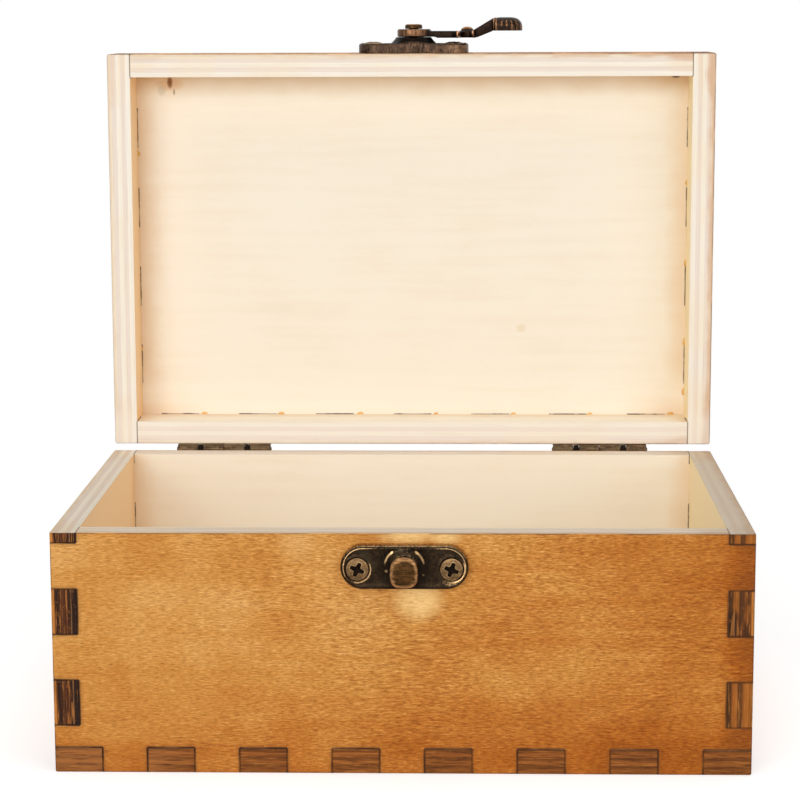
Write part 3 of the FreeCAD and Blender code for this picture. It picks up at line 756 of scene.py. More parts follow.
def face_plate(name, boss, bore, wall_rub_and_sheen, screw_drop, place, finish):
    """A latch plate: round-ended outline, ridge inside its bevel with a painted highlight, hollow-sided
    boss and dimples.
    """
    foot, crown, rise = boss
    half = plate_length / 2 - plate_height / 2
    on_catch = boss == catch_boss

    def outline(x, y):
        return np.hypot(np.maximum(np.abs(x) - half, 0), y) - plate_height / 2

    def from_middle(x, y):
        return np.hypot(x, y)

    def from_screw(x, y):
        return np.hypot(np.abs(x) - plate_screw_spacing / 2, y + screw_drop)

    def top(x, y, inset):
        height = plate_thickness - round_over(inset, 0.6) - 0.20 * between(inset, 0.72, 1.30)
        height = height - 0.07 * between(inset, 0.34, 0.43) * between(inset, 0.56, 0.50)
        middle = from_middle(x, y)
        climb = np.clip((foot - middle) / (foot - crown), 0, 1)
        height = height + (rise + 0.20) * climb**1.7 * (0.30 + 0.70 * between(inset, 0.0, 1.2))
        height = height - 0.12 * (between(middle, bore + 0.3, bore) - between(middle, bore + 0.02, bore))
        height = np.where(middle < bore, 1.0, height)
        screw = from_screw(x, y)
        height = height + 0.16 * between(screw, 3.35, 3.05) * between(screw, 2.62, 2.85)
        sink = plate_thickness - 0.12 - 1.5 * np.clip((2.68 - screw) / 1.5, 0, 1)
        return np.where(screw < 2.68, sink, height)

    def bottom(x, y, inset):
        return 0.12 * between(inset, 0.12, 0.0)

    def paint(x, y, inset):
        middle = from_middle(x, y)
        screw = from_screw(x, y)
        # The ridge inside the bevel is brightened, more at the ends and less along the bottom: painted
        # highlight
        lit = 0.4 + 0.6 * between(y, -3.6, -1.0)
        ridge = between(inset, 0.50, 0.60) * between(inset, 0.88, 0.72) * between(middle, foot, foot + 0.6)
        ridge = ridge * (0.52 + 0.48 * between(np.abs(x), 5.5, 9.5))
        groove = between(inset, 0.30, 0.42) * between(inset, 0.55, 0.47)
        # Thin bright arcs on the upper sides of the catch's boss: painted reflection
        ring = between(middle, foot + 0.15, foot - 0.05) * between(middle, foot - 0.6, foot - 0.3)
        ring = ring * between(np.abs(x), 1.8, 3.0) * between(y, -0.4, 1.8) * on_catch
        # Two small bright spots beside the catch's boss: painted glints
        glint_spots = between(np.hypot(x + 4.1, y + 0.8), 0.55, 0.2)
        glint_spots = glint_spots + 0.7 * between(np.hypot(x - 4.3, y + 1.7), 0.45, 0.15)
        lip = between(middle, crown + 0.25, crown) * between(middle, crown - 0.4, crown - 0.15)
        # Each screw dimple's ring is brightest on its lower right side: painted highlight
        beside = x - np.sign(x) * plate_screw_spacing / 2
        towards = (0.77 * beside - 0.64 * (y + screw_drop)) / np.maximum(screw, 0.1)
        dimple = between(screw, 3.4, 3.15) * between(screw, 2.75, 3.0)
        dimple = dimple * (0.25 + 0.6 * between(towards, 0.1, 0.8))
        smear = between(np.hypot((x - 10.4) / 3.8, (y + 3.4) / 1.4), 1.0, 0.4) * on_catch
        above = between(np.abs(x), 3.4, 2.4) * (y > 1.0) * between(inset, 0.2, 0.6) * on_catch
        glint_spots = glint_spots * on_catch
        worn = [0.66 * ridge * lit, 0.8 * ring, 0.8 * glint_spots, 0.40 * lip, dimple, 0.4 * smear, 0.3 * above]
        # The edge wall is rubbed lighter, and on the latch plate more so towards its right end: wear and
        # painted highlight
        wall = wall_rub_and_sheen * (1 + 0.6 * between(x, 8.0, 10.5) * (not on_catch)) * between(inset, 0.12, 0.02)
        # The round-over along the catch plate's top is lighter: painted highlight
        turn = 0.44 * between(inset, 0.40, 0.30) * between(y, 0.4, 3.2) * on_catch
        worn = np.maximum.reduce([*worn, wall, turn])
        # Darker towards the boss and along the groove, less so above the catch's post, and darkest on the
        # latch boss's flank: painted shade
        shade = 0.6 * between(middle, foot + 4.0, foot) * between(inset, 0.1, 0.5) * (1 - 0.9 * above)
        shade = shade + 0.5 * groove
        flank = 0.95 * between(middle, foot + 0.3, foot - 0.5) * between(inset, 0.1, 0.4) * (not on_catch)
        shade = np.maximum(shade, flank)
        sunk = np.maximum.reduce([between(screw, 2.8, 2.6), between(middle, bore + 0.3, bore), shade])
        return worn, sunk

    features = [
        (from_middle, [bore, bore + 0.06, bore + 0.3, crown - 0.3, crown, crown + 0.35]),
        (from_middle, [foot - 0.6, foot - 0.3, foot, foot + 0.15]),
        (from_screw, [1.15, 2.62, 2.68, 2.85, 3.05, 3.35]),
    ]
    span = ((-plate_length / 2, plate_length / 2), (-plate_height / 2, plate_height / 2))
    insets = [0.05, 0.14, 0.26, 0.36, 0.44, 0.52, 0.60, 0.70, 0.86, 1.1, 1.3]
    return stamped(name, outline, span, insets, features, top, bottom, paint, place, finish)


def screw(name, head, shank, sink, dome, length, slot_width, finish):
    """A raised countersunk screw with a cross recess, its head's edge at height 0."""
    reach = 0.66 * head

    def outline(x, y):
        return np.hypot(x, y) - head

    def cross(x, y):
        radius = np.hypot(x, y)
        taper = 0.5 * slot_width * (1.25 - 0.45 * radius / reach)
        arms = np.minimum(np.abs(x), np.abs(y)) - taper
        return np.maximum(arms, radius - reach)

    def top(x, y, inset):
        radius = np.hypot(x, y)
        height = dome * (1 - (radius / head) ** 2) - round_over(inset, 0.12 * head / 2.5)
        depth = 0.36 * head * (1.05 - radius / reach)
        return np.where(cross(x, y) < -0.04, height - 0.25 * dome - np.maximum(depth, 0.12 * head), height)

    def bottom(x, y, inset):
        radius = np.hypot(x, y)
        cone = -0.04 - sink * np.clip((head - radius) / (head - shank), 0, 1)
        point = -length + 2 * radius
        return np.where(radius < shank - 0.04, point, cone)

    def paint(x, y, inset):
        edge = between(inset, 0.22, 0.05)
        lips = between(np.abs(cross(x, y)), 0.16, 0.02) * (cross(x, y) > -0.02)
        hollow = between(inset, 0.5, 0.9) * 0.18
        return np.maximum(0.45 * edge, 0.5 * lips) + 0.30 - hollow, between(cross(x, y), 0.0, -0.05)

    features = [(cross, [0.0, -0.05]), (outline, [shank - head, shank - head - 0.05])]
    span = ((-head, head), (-head, head))
    place = Matrix.Identity(4)
    insets = [0.06, 0.15, 0.4]
    return stamped(name, outline, span, insets, features, top, bottom, paint, place, finish, fill=0.5)


def spread_tree():
    """Geometry Nodes that set a copy of one piece on every point, by the point's own turn and size."""
    tree = bpy.data.node_groups.new("set_on_places", "GeometryNodeTree")
    sockets = (
        ("Places", "Geometry"), ("Piece", "Object"), ("Finish", "Material"), ("Size", "Float"),
        ("Unevenness", "Float"), ("Seed", "Int"),
    )
    for label, kind in sockets:
        tree.interface.new_socket(label, in_out="INPUT", socket_type="NodeSocket" + kind)
    tree.interface.new_socket("Pieces", in_out="OUTPUT", socket_type="NodeSocketGeometry")

    def node(kind, settings, inputs):
        made = tree.nodes.new(kind)
        for label, value in settings.items():
            setattr(made, label, value)
        for label, value in inputs.items():
            if isinstance(value, bpy.types.NodeSocket):
                tree.links.new(value, made.inputs[label])
            else:
                made.inputs[label].default_value = value
        return made.outputs

    given = node("NodeGroupInput", {}, {})
    points = node("GeometryNodeMeshToPoints", {}, {"Mesh": given["Places"]})
    piece = node("GeometryNodeObjectInfo", {}, {"Object": given["Piece"]})
    turn = node("GeometryNodeInputNamedAttribute", {"data_type": "FLOAT_VECTOR"}, {"Name": "turn"})
    turn = node("FunctionNodeEulerToRotation", {}, {"Euler": turn["Attribute"]})
    size = node("GeometryNodeInputNamedAttribute", {"data_type": "FLOAT"}, {"Name": "size"})
    low = node("ShaderNodeMath", {"operation": "SUBTRACT"}, {0: 1.0, 1: given["Unevenness"]})
    high = node("ShaderNodeMath", {"operation": "ADD"}, {0: 1.0, 1: given["Unevenness"]})
    chance = node("FunctionNodeRandomValue", {}, {2: low[0], 3: high[0], "Seed": given["Seed"]})
    size = node("ShaderNodeMath", {"operation": "MULTIPLY"}, {0: size["Attribute"], 1: chance[1]})
    size = node("ShaderNodeMath", {"operation": "MULTIPLY"}, {0: size[0], 1: given["Size"]})
    placed = {"Points": points[0], "Instance": piece["Geometry"], "Rotation": turn[0], "Scale": size[0]}
    copies = node("GeometryNodeInstanceOnPoints", {}, placed)
    real = node("GeometryNodeRealizeInstances", {}, {"Geometry": copies[0]})
    coated = node("GeometryNodeSetMaterial", {}, {"Geometry": real[0], "Material": given["Finish"]})
    node("NodeGroupOutput", {}, {"Pieces": coated[0]})
    return tree


def spread(name, tree, piece, places, place, finish, unevenness=0.0, seed=1):
    """One mesh with a copy of piece at each of places: (point, turn, size)."""
    points, turns, sizes = zip(*places)
    carrier = mesh_object(name + "_places", points, [], {}, Matrix.Scale(1000.0, 4), finish)
    turn_layer = carrier.data.attributes.new("turn", "FLOAT_VECTOR", "POINT")
    turn_layer.data.foreach_set("vector", np.array(turns, np.float32).ravel())
    size_layer = carrier.data.attributes.new("size", "FLOAT", "POINT")
    size_layer.data.foreach_set("value", np.array(sizes, np.float32))
    modifier = carrier.modifiers.new("set_on_places", "NODES")
    modifier.node_group = tree
    given = {"Piece": piece, "Finish": finish, "Size": 1000.0, "Unevenness": unevenness, "Seed": seed}
    for socket in tree.interface.items_tree:
        if socket.in_out == "INPUT" and socket.name in given:
            modifier[socket.identifier] = given[socket.name]
    bpy.context.view_layer.update()
    graph = bpy.context.evaluated_depsgraph_get()
    mesh = bpy.data.meshes.new_from_object(
        carrier.evaluated_get(graph), preserve_all_data_layers=True, depsgraph=graph
    )
    mesh.name = name
    mesh.transform(Matrix.Scale(0.001, 4) @ place)
    if place.determinant() < 0:
        mesh.flip_normals()
    bpy.data.objects.remove(carrier)
    made = bpy.data.objects.new(name, mesh)
    bpy.context.scene.collection.objects.link(made)
    return made


def swing_hook(place, finish):
    """The hook along +X from its rivet: ring, arm, notched eye with its lip, bend and cupped thumb tab."""
    middle = (tab_span[0] + tab_span[1]) / 2
    half_tab = (tab_span[1] - tab_span[0]) / 2
    bore = shaft_radius + running_clearance
    notch = neck_radius + notch_clearance
    nose_start = tab_span[1] - nose_radius

    def tab(x, y):
        nose = np.hypot(x - nose_start, y) - nose_radius
        body = bar(x - middle, y, half_tab, tab_width / 2, 1.3)
        return np.where(x > nose_start, np.maximum(body, nose * 0.9 - 0.02), body)

    def mouth(x, y):
        way = np.maximum(np.abs(np.hypot(x, y) - hook_reach) - notch, y)
        return np.minimum(way, np.hypot(x - hook_reach, y) - notch)

    def outline(x, y):
        ring = np.hypot(x, y) - ring_radius
        eye = np.maximum(np.hypot(x - hook_reach, y) - eye_radius, x - bend_start - 0.3)
        arm = bar(x - 11.4, y, 11.4, arm_width / 2, 0.3)
        body = merged(merged(merged(ring, arm, 0.9), eye, 0.7), tab(x, y), 0.8)
        body = np.maximum(body, bore - np.hypot(x, y))
        return -merged(-body, mouth(x, y), 0.35)

    def rise(x, start, end, height):
        run = (x - start) / (end - start)
        soft = 0.06
        low = soft * np.log1p(np.exp(np.clip(run / soft, -40, 40)))
        return height * (low - soft * np.log1p(np.exp(np.clip((run - 1) / soft, -40, 40))))

    def free_edge(x, y):
        return np.hypot(np.maximum(x - nose_start, 0), y) - nose_radius

    def dome(edge, foot, height, start, swell):
        inside = np.clip((-edge - start) / (nose_radius - start), 0, 1)
        return foot + height * np.sqrt(np.maximum(1 - (1 - inside) ** swell, 0))

    def top(x, y, inset):
        arm = arm_top + rise(x, bend_start - bend_lean, bend_end - bend_lean, bend_rise)
        arm = arm - round_over(inset, 0.42)
        arm = arm + (ring_top - arm_top) * between(np.hypot(x, y), 4.75, 4.3)
        arm = arm - 6.0 * between(x, tab_span[0] + 0.7, tab_span[0] + 2.7)
        angle = np.degrees(np.arctan2(x - hook_reach, y))
        reach = np.hypot(x - hook_reach, y)
        bump = np.sqrt(np.clip(1 - (angle / 23) ** 2, 0, 1)) * between(reach, 3.2, 3.9) * (y > 0)
        arm = arm + 1.1 * bump * between(inset, 0.0, 0.3)
        cup = dome(free_edge(x, y), tab_foot + 0.9, tab_top - tab_foot - 0.9, 0.0, 3.0)
        cup = cup - 0.25 * between(x, tab_span[0] + 2.0, tab_span[0])
        return np.where(tab(x, y) < 0.1, np.maximum(arm, cup), arm)

    def bottom(x, y, inset):
        arm = arm_bottom + rise(x, underside_start, bend_end - bend_lean, underside_rise)
        arm = arm + round_over(inset, 0.3)
        arm = arm + (ring_bottom - arm_bottom) * between(x, 6.4, 5.4)
        hollow = dome(tab(x, y), tab_foot, tab_top - tab_foot - tab_wall, tab_wall, 2.2)
        return np.where(tab(x, y) < 0.1, hollow, arm)

    def paint(x, y, inset):
        edge = between(inset, 0.45, 0.1)
        ring = between(np.hypot(x, y), 3.4, 4.1) * between(x, 5.0, 3.0)
        angle = np.degrees(np.arctan2(x - hook_reach, y))
        lip = between(np.abs(angle), 30, 18) * between(np.hypot(x - hook_reach, y), 3.0, 3.7) * (y > 0)
        # The notch's mouth is bright: painted highlight
        lips = between(-mouth(x, y), -0.9, -0.1) * (y < -1.5)
        flank = between(-tab(x, y), 1.9, 0.5) * (tab(x, y) < 0)
        spokes = 0.5 + 0.5 * np.cos(17 * np.arctan2(np.abs(y), x - middle + 0.6) + 0.9 * np.sin(5 * x))
        # A bright spot on the tab's root corners: painted glint
        root_glint = between(x, tab_span[0] + 0.8, tab_span[0] + 0.1) * between(np.abs(y), 2.4, 3.2)
        root_glint = root_glint * (tab(x, y) < 0.3)
        flank = flank * (0.28 + 0.22 * spokes)
        worn = np.maximum.reduce([0.20 * edge, 0.46 * ring, 0.5 * lip, 0.85 * lips, flank, 0.9 * root_glint])
        return worn, between(np.hypot(x, y), 2.6, 2.2) * 0.8

    def from_rivet(x, y):
        return np.hypot(x, y)

    def from_eye(x, y):
        return np.hypot(x - hook_reach, y)

    features = [
        (from_rivet, [2.4, 3.6, 4.3, 4.75]),
        (from_eye, [3.2, 3.9]),
        (tab, [0.0, -0.05, -0.15, -0.35, -0.7, -tab_wall, -tab_wall - 0.06, -1.5, -2.2, -3.0]),
    ]
    span = ((-ring_radius, tab_span[1]), (-eye_radius, eye_radius))
    insets = [0.04, 0.12, 0.24, 0.42, 0.8]
    return stamped(
        "swing_hook", outline, span, insets, features, top, bottom, paint, place, finish, fill=0.55
    )


def knuckle_spans():
    """Where the four knuckles start and end along the pin."""
    length = (hinge_length - 2 * knuckle_gap - knuckle_end_play) / 4
    starts = [0.0, length + knuckle_gap]
    starts.append(starts[1] + length + knuckle_end_play)
    starts.append(starts[2] + length + knuckle_gap)
    return [(start - hinge_length / 2, start + length - hinge_length / 2) for start in starts]


def curl_outline():
    """Section of a knuckle: the leaf's strip leaves the wood and rolls round the pin, short of itself."""
    strip = leaf_thickness / 2
    wood_y = -(knuckle_radius + knuckle_wall_gap)
    radius = knuckle_radius - strip
    track = [(wood_y + strip, -leaf_start), (wood_y + strip, -0.9), (wood_y + strip + 0.05, -0.45)]
    track += [(radius * math.cos(a), radius * math.sin(a)) for a in np.radians(np.linspace(180, -126, 40))]
    track = np.array(track)
    way = np.gradient(track, axis=0)
    way /= np.linalg.norm(way, axis=1)[:, None]
    normal = np.stack([-way[:, 1], way[:, 0]], 1)
    return track, normal, strip


def rolled_knuckle(span, sheen_at):
    """Points and faces of one rolled knuckle with softened, rubbed ends and a painted highlight along a
    line at the given angle in degrees.
    """
    track, normal, strip = curl_outline()
    angle = np.degrees(np.arctan2(track[:, 1], track[:, 0])) % 360
    # Bright along one line round the knuckle: painted highlight
    wear_and_sheen = 0.10 + 0.50 * between(np.abs(angle - sheen_at), 38, 8)
    points, faces, worn = [], [], []
    for x, ease in ((span[0], 0.08), (span[0] + 0.08, 0.0), (span[1] - 0.08, 0.0), (span[1], 0.08)):
        outer = track + normal * (strip - ease)
        inner = track - normal * (strip - ease)
        points += [(x, *p) for p in np.concatenate([outer, inner[::-1]]).tolist()]
        worn += [*(wear_and_sheen + (0.25 if ease else 0.0)), *([0.1] * len(track))]
    around = 2 * len(track)
    for ring in range(3):
        low = ring * around
        for k in range(around):
            after = (k + 1) % around
            faces.append((low + k, low + after, low + around + after, low + around + k))
    for k in range(len(track) - 1):
        back = around - 1 - k
        faces.append((k + 1, k, back, back - 1))
        faces.append((3 * around + k, 3 * around + k + 1, 3 * around + back - 1, 3 * around + back))
    return points, faces, worn


def joined_pieces(name, pieces):
    """Several meshes in one piece."""
    whole = bmesh.new()
    for piece in pieces:
        whole.from_mesh(piece.data)
    mesh = bpy.data.meshes.new(name)
    whole.to_mesh(mesh)
    whole.free()
    mesh.materials.append(pieces[0].data.materials[0])
    for piece in pieces:
        bpy.data.objects.remove(piece)
    made = bpy.data.objects.new(name, mesh)
    bpy.context.scene.collection.objects.link(made)
    return made


LEAF_FACE = Matrix.Translation((0, -(knuckle_radius + knuckle_wall_gap), 0)) @ Matrix.Rotation(
    -math.pi / 2, 4, "X"
)


def hinge_leaf(name, spans, sheen_at, place, finish):
    """A leaf below the pin's axis, with its countersunk holes and its rolled knuckles."""
    middle = (leaf_height + leaf_start) / 2
    half = (leaf_height - leaf_start) / 2

    def outline(x, y):
        low = bar(x, y - middle, hinge_length / 2, half, 1.0)
        return np.where(y < middle, bar(x, y - middle, hinge_length / 2, half, 0.02), low)

    def from_screw(x, y):
        return np.hypot(np.abs(x) - hinge_screw_spacing / 2, y - hinge_screw_drop)

    def top(x, y, inset):
        height = leaf_thickness - round_over(inset, 0.16) * (y > leaf_start + 0.2)
        return height - 0.45 * np.clip((1.82 - from_screw(x, y)) / 0.75, 0, 1)

    def bottom(x, y, inset):
        return np.zeros_like(x)

    def paint(x, y, inset):
        by_hole = between(np.abs(from_screw(x, y) - 1.9), 0.2, 0.05)
        worn = np.maximum(0.5 * between(inset, 0.3, 0.08), 0.4 * by_hole)
        return worn + 0.1, between(from_screw(x, y), 1.95, 1.75)

    on_wood = place @ LEAF_FACE
    span = ((-hinge_length / 2, hinge_length / 2), (leaf_start, leaf_height))
    features = [(from_screw, [1.07, 1.76, 1.82, 1.95])]
    insets = [0.04, 0.1, 0.17, 0.3]
    plate = stamped(name + "_plate", outline, span, insets, features, top, bottom, paint, on_wood, finish)
    pieces = [plate]
    for number, knuckle in enumerate(spans):
        points, faces, worn = rolled_knuckle(knuckle, sheen_at)
        painted = {"worn": worn, "sunk": [0.0] * len(worn)}
        pieces.append(mesh_object(name + "_knuckle_" + str(number), points, faces, painted, place, finish))
    return joined_pieces(name, pieces)


def hinge_pin(name, place, finish):
    """The pin, with a collar in each of the two wide gaps between knuckles."""
    half = hinge_length / 2
    along = place @ Matrix.Rotation(math.pi / 2, 4, "Y")
    collar = (knuckle_spans()[0][1] + 0.12, knuckle_spans()[1][0] - 0.12)
    tip = [(0.3, 0.3, 2, 0.5, 0), (0.2, 0.5, 2, 0.5, 0), (0.05, pin_radius, 2, 0.4, 0)]
    collar_radius = 1.08
    rings = [(-half - beyond, *rest) for beyond, *rest in tip]
    # The collars are made nearly black: painted shade in the gaps between the knuckles
    for low, high in (collar, (-collar[1], -collar[0])):
        rings += [
            (low, pin_radius, 2, 0, 0.9), (low + 0.02, collar_radius, 2, 0, 0.8),
            (high - 0.02, collar_radius, 2, 0, 0.8), (high, pin_radius, 2, 0, 0.9),
        ]
    rings += [(half + beyond, *rest) for beyond, *rest in reversed(tip)]
    return turned_piece(name, rings, along, finish, around=28)


def glue_bead():
    """A flattened, slightly lopsided drop of glue, one millimetre in half length."""
    ball = bmesh.new()
    bmesh.ops.create_icosphere(ball, subdivisions=3, radius=1.0)
    for vertex in ball.verts:
        x, y, z = vertex.co
        swell = 1 + 0.12 * math.sin(3.1 * x + 1.0) + 0.08 * math.sin(4.3 * y - x)
        vertex.co = (x * swell, 0.52 * y * swell, 0.52 * z * (1 - 0.2 * x))
    mesh = bpy.data.meshes.new("glue_bead")
    ball.to_mesh(mesh)
    ball.free()
    mesh.transform(Matrix.Scale(0.001, 4))
    mesh.shade_smooth()
    bead = bpy.data.objects.new("glue_bead", mesh)
    bpy.context.scene.collection.objects.link(bead)
    return bead


# Finishes
boards = {
    "front_panel": "y",
    "rear_panel": "y",
    "left_panel": "x",
    "right_panel": "x",
    "bottom_panel": "z",
    "top_panel": "z",
}
woods = {
    (axis, lid): plywood("plywood_" + ("lid_" if lid else "base_") + axis, axis, lid)
    for axis in "xyz" for lid in (False, True)
}
for node_name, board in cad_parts.items():
    half, _, rest = node_name.partition("_")
    if rest in boards:
        board.data.materials.clear()
        board.data.materials.append(woods[boards[rest], half == "lid"])

METALS = {  # dark, brown, tarnished and bright colours, direction of the drawing, smoothness
    "catch_bronze": (((29, 23, 19), (56, 42, 28), (54, 46, 33), (206, 166, 116)), ALONG_Y, 0.13),
    "latch_bronze": (((36, 27, 23), (88, 67, 52), (60, 48, 39), (190, 148, 112)), ALONG_Z, 0.18),
    "hook_bronze": (((27, 21, 18), (45, 33, 26), (38, 29, 24), (196, 142, 100)), ALONG_Z, 0.20),
    "worn_copper": (((50, 34, 19), (86, 58, 30), (68, 48, 27), (204, 152, 102)), ALONG_X, 0.22),
    "dull_screw_steel": (((84, 64, 43), (122, 94, 62), (104, 82, 54), (182, 148, 108)), ALONG_X, 0.28),
    "hinge_bronze": (((56, 44, 32), (104, 83, 60), (88, 74, 54), (206, 180, 144)), ALONG_X, 0.26),
}
metals = {
    name: aged_metal(name, *(tint(*colour) for colour in colours), stretch, smooth)
    for name, (colours, stretch, smooth) in METALS.items()
}
glue = glue_finish("dried_glue")

# Latch
catch = face_plate(
    "catch_face_plate", catch_boss, bore=neck_radius + running_clearance, wall_rub_and_sheen=0.56,
    screw_drop=catch_screw_drop, place=ON_BASE_FRONT, finish=metals["catch_bronze"],
)
settle(catch, "base", "latch_bronze", "catch_plate")
latch = face_plate(
    "latch_face_plate", latch_boss, bore=shaft_radius + running_clearance, wall_rub_and_sheen=0.28,
    screw_drop=0.0, place=ON_LID_FRONT, finish=metals["latch_bronze"],
)
settle(latch, "lid", "latch_bronze", "latch_plate")
settle(swing_hook(ON_LID_FRONT, metals["hook_bronze"]), "hook", "latch_bronze", "latch_hook")

# The stud's neck between its collar and its head is darkened: painted shade
post_rings = [  # height, radius, squareness, wear and painted highlight, grime and painted shade
    (0.0, 2.3, 2, 0, 1), (0.7, 2.3, 2, 0, 1), (0.72, 1.5, 2, 0, 1),
    (3.6, 1.5, 2, 0, 0.6), (3.62, 2.7, 2, 0.1, 0.4), (3.82, 2.75, 2, 0.35, 0),
    (3.9, 2.62, 2, 0.5, 0), (3.92, 2.4, 2, 0.3, 0), (3.94, 1.5, 2, 0, 0.8),
    (7.24, 1.5, 2, 0, 0.8), (7.26, 2.66, 2.6, 0.1, 0.4), (7.33, 3.0, 2.8, 0.3, 0),
    (7.45, 3.16, 3.0, 0.4, 0), (7.63, 3.2, 3.0, 0.42, 0), (7.82, 3.14, 3.0, 0.48, 0),
    (7.99, 3.0, 2.9, 0.54, 0), (8.13, 2.79, 2.8, 0.52, 0), (8.25, 2.5, 2.7, 0.40, 0),
    (8.34, 2.13, 2.6, 0.22, 0), (8.4, 1.68, 2.5, 0.08, 0), (8.43, 1.06, 2.4, 0.04, 0.06),
    (8.44, 0.42, 2.3, 0.04, 0.06),
]
copper = metals["worn_copper"]
stud = turned_piece(
    "catch_stud", post_rings, ON_BASE_FRONT, copper, around=64, stretch=1.109, narrowing=0.13
)
settle(stud, "base", "worn_copper", "catch_post")
rivet_rings = [
    (0.0, 2.3, 2, 0, 1), (0.7, 2.3, 2, 0, 1), (0.72, 1.3, 2, 0, 1),
    (6.39, 1.3, 2, 0, 1), (6.4, 2.1, 2, 0.1, 0.4), (6.46, 2.24, 2, 0.25, 0),
    (6.6, 2.3, 2, 0.35, 0), (7.15, 2.27, 2, 0.25, 0), (7.37, 2.18, 2, 0.4, 0),
    (7.52, 2.0, 2, 0.6, 0), (7.59, 1.75, 2, 0.4, 0), (7.6, 1.3, 2, 0.15, 0),
    (7.56, 0.8, 2, 0.1, 0.2), (7.53, 0.3, 2, 0, 0.3),
]
rivet = turned_piece("hook_rivet", rivet_rings, ON_LID_FRONT, copper)
settle(rivet, "lid", "worn_copper", "latch_rivet")

# Screws
placing_tree = spread_tree()
steel = metals["dull_screw_steel"]
plate_screw = screw(
    "plate_screw", head=2.55, shank=1.1, sink=1.5, dome=0.5, length=7.6, slot_width=1.1, finish=steel
)
small_screw = screw(
    "small_screw", head=1.75, shank=0.85, sink=0.45, dome=0.3, length=4.8, slot_width=0.62, finish=steel
)


def screw_pair(name, piece, spacing, height, lift, turns, place, body, node):
    """Two screws a spacing apart, each with its own turn."""
    sides = ((-spacing / 2, turns[0]), (spacing / 2, turns[1]))
    places = [((x, height, lift), (0.0, 0.0, math.radians(angle)), 1.0) for x, angle in sides]
    pair = spread(name, placing_tree, piece, places, place, steel)
    settle(pair, body, "screws", node)


for name, height, turns, place, body, node in (
    ("catch_plate_cross_screws", -catch_screw_drop, (67, 70), ON_BASE_FRONT, "base", "catch_plate_screws"),
    ("latch_plate_cross_screws", 0, (22, 51), ON_LID_FRONT, "lid", "latch_plate_screws"),
):
    screw_pair(name, plate_screw, plate_screw_spacing, height, plate_thickness, turns, place, body, node)

# Hinges
lower_knuckles, upper_knuckles = knuckle_spans()[0::2], knuckle_spans()[1::2]
for side, x in (("left", -hinge_middle), ("right", hinge_middle)):
    at_axis = Matrix.Translation((x, hinge_axis_y, hinge_axis_z))
    folded = in_closed_lid() @ at_axis @ Matrix.Scale(-1, 4, (0, 0, 1))
    hinge, metal = side + "_hinge_", metals["hinge_bronze"]
    lower = hinge_leaf(hinge + "lower", lower_knuckles, sheen_at=92, place=at_axis, finish=metal)
    settle(lower, "base", "hinge_bronze", hinge + "base_leaf")
    upper = hinge_leaf(hinge + "upper", upper_knuckles, sheen_at=178, place=folded, finish=metal)
    settle(upper, "lid", "hinge_bronze", hinge + "lid_leaf")
    settle(hinge_pin(hinge + "spindle", at_axis, metal), "base", "hinge_bronze", hinge + "pin")
    for name, turns, place, body, node in (
        ("lower_cross_screws", (31, 80), at_axis, "base", "base_screws"),
        ("upper_cross_screws", (12, 58), folded, "lid", "lid_screws"),
    ):
        screw_pair(
            hinge + name, small_screw, hinge_screw_spacing, hinge_screw_drop, leaf_thickness, turns,
            place @ LEAF_FACE, body, hinge + node
        )

# Glue that squeezed out beside the tenons, in the corners of the lid and of the base
inner_x = box_width / 2 - board_thickness
inner_y = box_depth / 2 - board_thickness
bead = glue_bead()
lid_beads = [  # across, back, half length
    (-57.1, inner_y, 1.0), (-36.0, inner_y, 1.1), (-14.3, inner_y, 1.25), (6.4, inner_y, 0.95),
    (27.6, inner_y, 0.8), (48.4, inner_y, 1.0), (70.4, inner_y, 1.2),
    (inner_x, -17.2, 0.9), (inner_x, 4.4, 1.1), (inner_x, 26.0, 1.0), (inner_x, 39.6, 1.2),
    (-inner_x, -25.3, 1.0), (-inner_x, 27.9, 0.6),
]
base_beads = [
    (-57.3, inner_y, 0.9), (-15.2, inner_y, 1.1), (27.4, inner_y, 0.8),
    (-36.6, -inner_y, 1.0), (6.2, -inner_y, 0.9), (49.2, -inner_y, 1.1),
]
lid_bead_height = 69.4


def bead_places(beads, height):
    """Where each drop sits, its turn along the joint and its size."""
    return [((x, y, height), (0.0, 0.0, math.pi / 2 * (abs(x) == inner_x)), size) for x, y, size in beads]


lid_places = bead_places(lid_beads, lid_bead_height)
beads = spread(
    "lid_glue_beads", placing_tree, bead, lid_places, in_closed_lid(), glue, unevenness=0.12, seed=7
)
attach(beads, "lid")
base_places = bead_places(base_beads, board_thickness)
beads = spread(
    "base_glue_beads", placing_tree, bead, base_places, Matrix.Identity(4), glue, unevenness=0.12, seed=11
)
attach(beads, "base")
for pattern in (plate_screw, small_screw, bead):
    bpy.data.objects.remove(pattern)


SEEN_RAYS = ("Is Camera Ray", "Is Glossy Ray", "Is Transmission Ray")  # these see a white backdrop


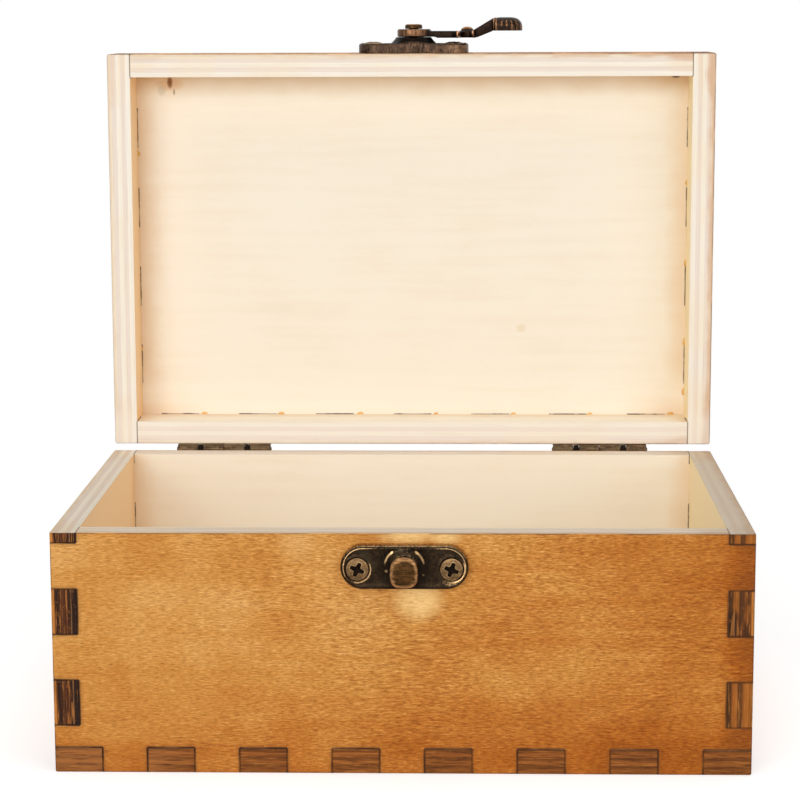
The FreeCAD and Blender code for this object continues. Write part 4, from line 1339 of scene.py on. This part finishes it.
def pale_floor():
    """A pale floor that keeps the box's shadow near it and runs out to plain white."""
    finish = Finish("pale_floor")
    place = finish.object_place()
    away = finish.node("VectorMath", {"operation": "LENGTH"}, {0: place}, "Value")
    seen = finish.most(*(finish.node("LightPath", {}, {}, ray) for ray in SEEN_RAYS))
    speck = finish.grain(finish.stretched(place, (1000.0,) * 3), (0.4, 0.4, 0.4), 2.0)
    paper = finish.mix(speck, (0.80, 0.80, 0.80, 1.0), (0.82, 0.82, 0.82, 1.0))
    matt = finish.node("BsdfDiffuse", {}, {"Color": paper})
    glow = finish.node("Emission", {}, {"Color": (1.0, 1.0, 1.0, 1.0), "Strength": 0.50})
    near = finish.node("AddShader", {}, {0: matt, 1: glow})
    white = finish.node("Emission", {}, {"Color": (1.0, 1.0, 1.0, 1.0), "Strength": 1.0})
    spread_out = finish.node("MixShader", {}, {0: finish.fade(away, 0.16, 0.5), 1: near, 2: white})
    shown = finish.node("MixShader", {}, {0: seen, 1: matt, 2: spread_out})
    finish.node("OutputMaterial", {}, {"Surface": shown})
    mesh = bpy.data.meshes.new("floor")
    reach = 4.0
    corners = [(x * reach, y * reach, 0) for x, y in ((-1, -1), (1, -1), (1, 1), (-1, 1))]
    mesh.from_pydata(corners, [], [(0, 1, 2, 3)])
    mesh.materials.append(finish.material)
    floor = bpy.data.objects.new("floor", mesh)
    bpy.context.scene.collection.objects.link(floor)


def studio_world(strength):
    """Even light from all round, in front of a white backdrop."""
    world = bpy.data.worlds.new("studio")
    bpy.context.scene.world = world
    world.use_nodes = True
    tree = world.node_tree
    tree.nodes.clear()
    path = tree.nodes.new("ShaderNodeLightPath")
    seen = path.outputs[SEEN_RAYS[0]]
    for ray in SEEN_RAYS[1:]:
        either = tree.nodes.new("ShaderNodeMath")
        either.operation = "MAXIMUM"
        tree.links.new(seen, either.inputs[0])
        tree.links.new(path.outputs[ray], either.inputs[1])
        seen = either.outputs[0]
    level = tree.nodes.new("ShaderNodeMapRange")
    level.inputs["To Min"].default_value = strength
    level.inputs["To Max"].default_value = 1.0
    tree.links.new(seen, level.inputs["Value"])
    background = tree.nodes.new("ShaderNodeBackground")
    background.inputs["Color"].default_value = (1.0, 1.0, 1.0, 1.0)
    tree.links.new(level.outputs[0], background.inputs["Strength"])
    output = tree.nodes.new("ShaderNodeOutputWorld")
    tree.links.new(background.outputs[0], output.inputs["Surface"])


def softbox(name, place, aim, size, power):
    """A square lamp. Its place, aim and size are in metres."""
    lamp = bpy.data.lights.new(name, "AREA")
    lamp.shape = "SQUARE"
    lamp.size = size
    lamp.energy = power
    holder = bpy.data.objects.new(name, lamp)
    holder.location = place
    holder.rotation_euler = (Vector(aim) - Vector(place)).to_track_quat("-Z", "Y").to_euler()
    holder.visible_camera = False
    bpy.context.scene.collection.objects.link(holder)


pale_floor()
studio_world(strength=0.34)
softbox("front_softbox", (-0.70, -2.00, 0.55), aim=(0.0, 0.0, 0.08), size=1.5, power=22.4)
softbox("right_softbox", (1.20, -1.60, 0.45), aim=(0.0, 0.0, 0.08), size=1.2, power=7.3)
softbox("top_softbox", (0.10, -0.20, 1.90), aim=(0.0, 0.0, 0.05), size=1.4, power=11.0)

# The photograph's camera
camera = bpy.data.cameras.new("camera")
camera.sensor_width = 36.0
camera.lens = 108.495
camera.clip_start = 0.05
camera.clip_end = 50.0
eye = bpy.data.objects.new("camera", camera)
bpy.context.scene.collection.objects.link(eye)
bpy.context.scene.camera = eye
eye.matrix_world = (
    Matrix.Translation((0.0142, -0.5850, 0.1731))
    @ Matrix.Rotation(math.radians(1.549), 4, "Z")
    @ Matrix.Rotation(math.radians(-9.171), 4, "X")
    @ Matrix.Rotation(math.radians(0.188), 4, "Y")
    @ Matrix.Rotation(math.pi / 2, 4, "X")
)
bpy.context.scene.view_settings.view_transform = "Standard"
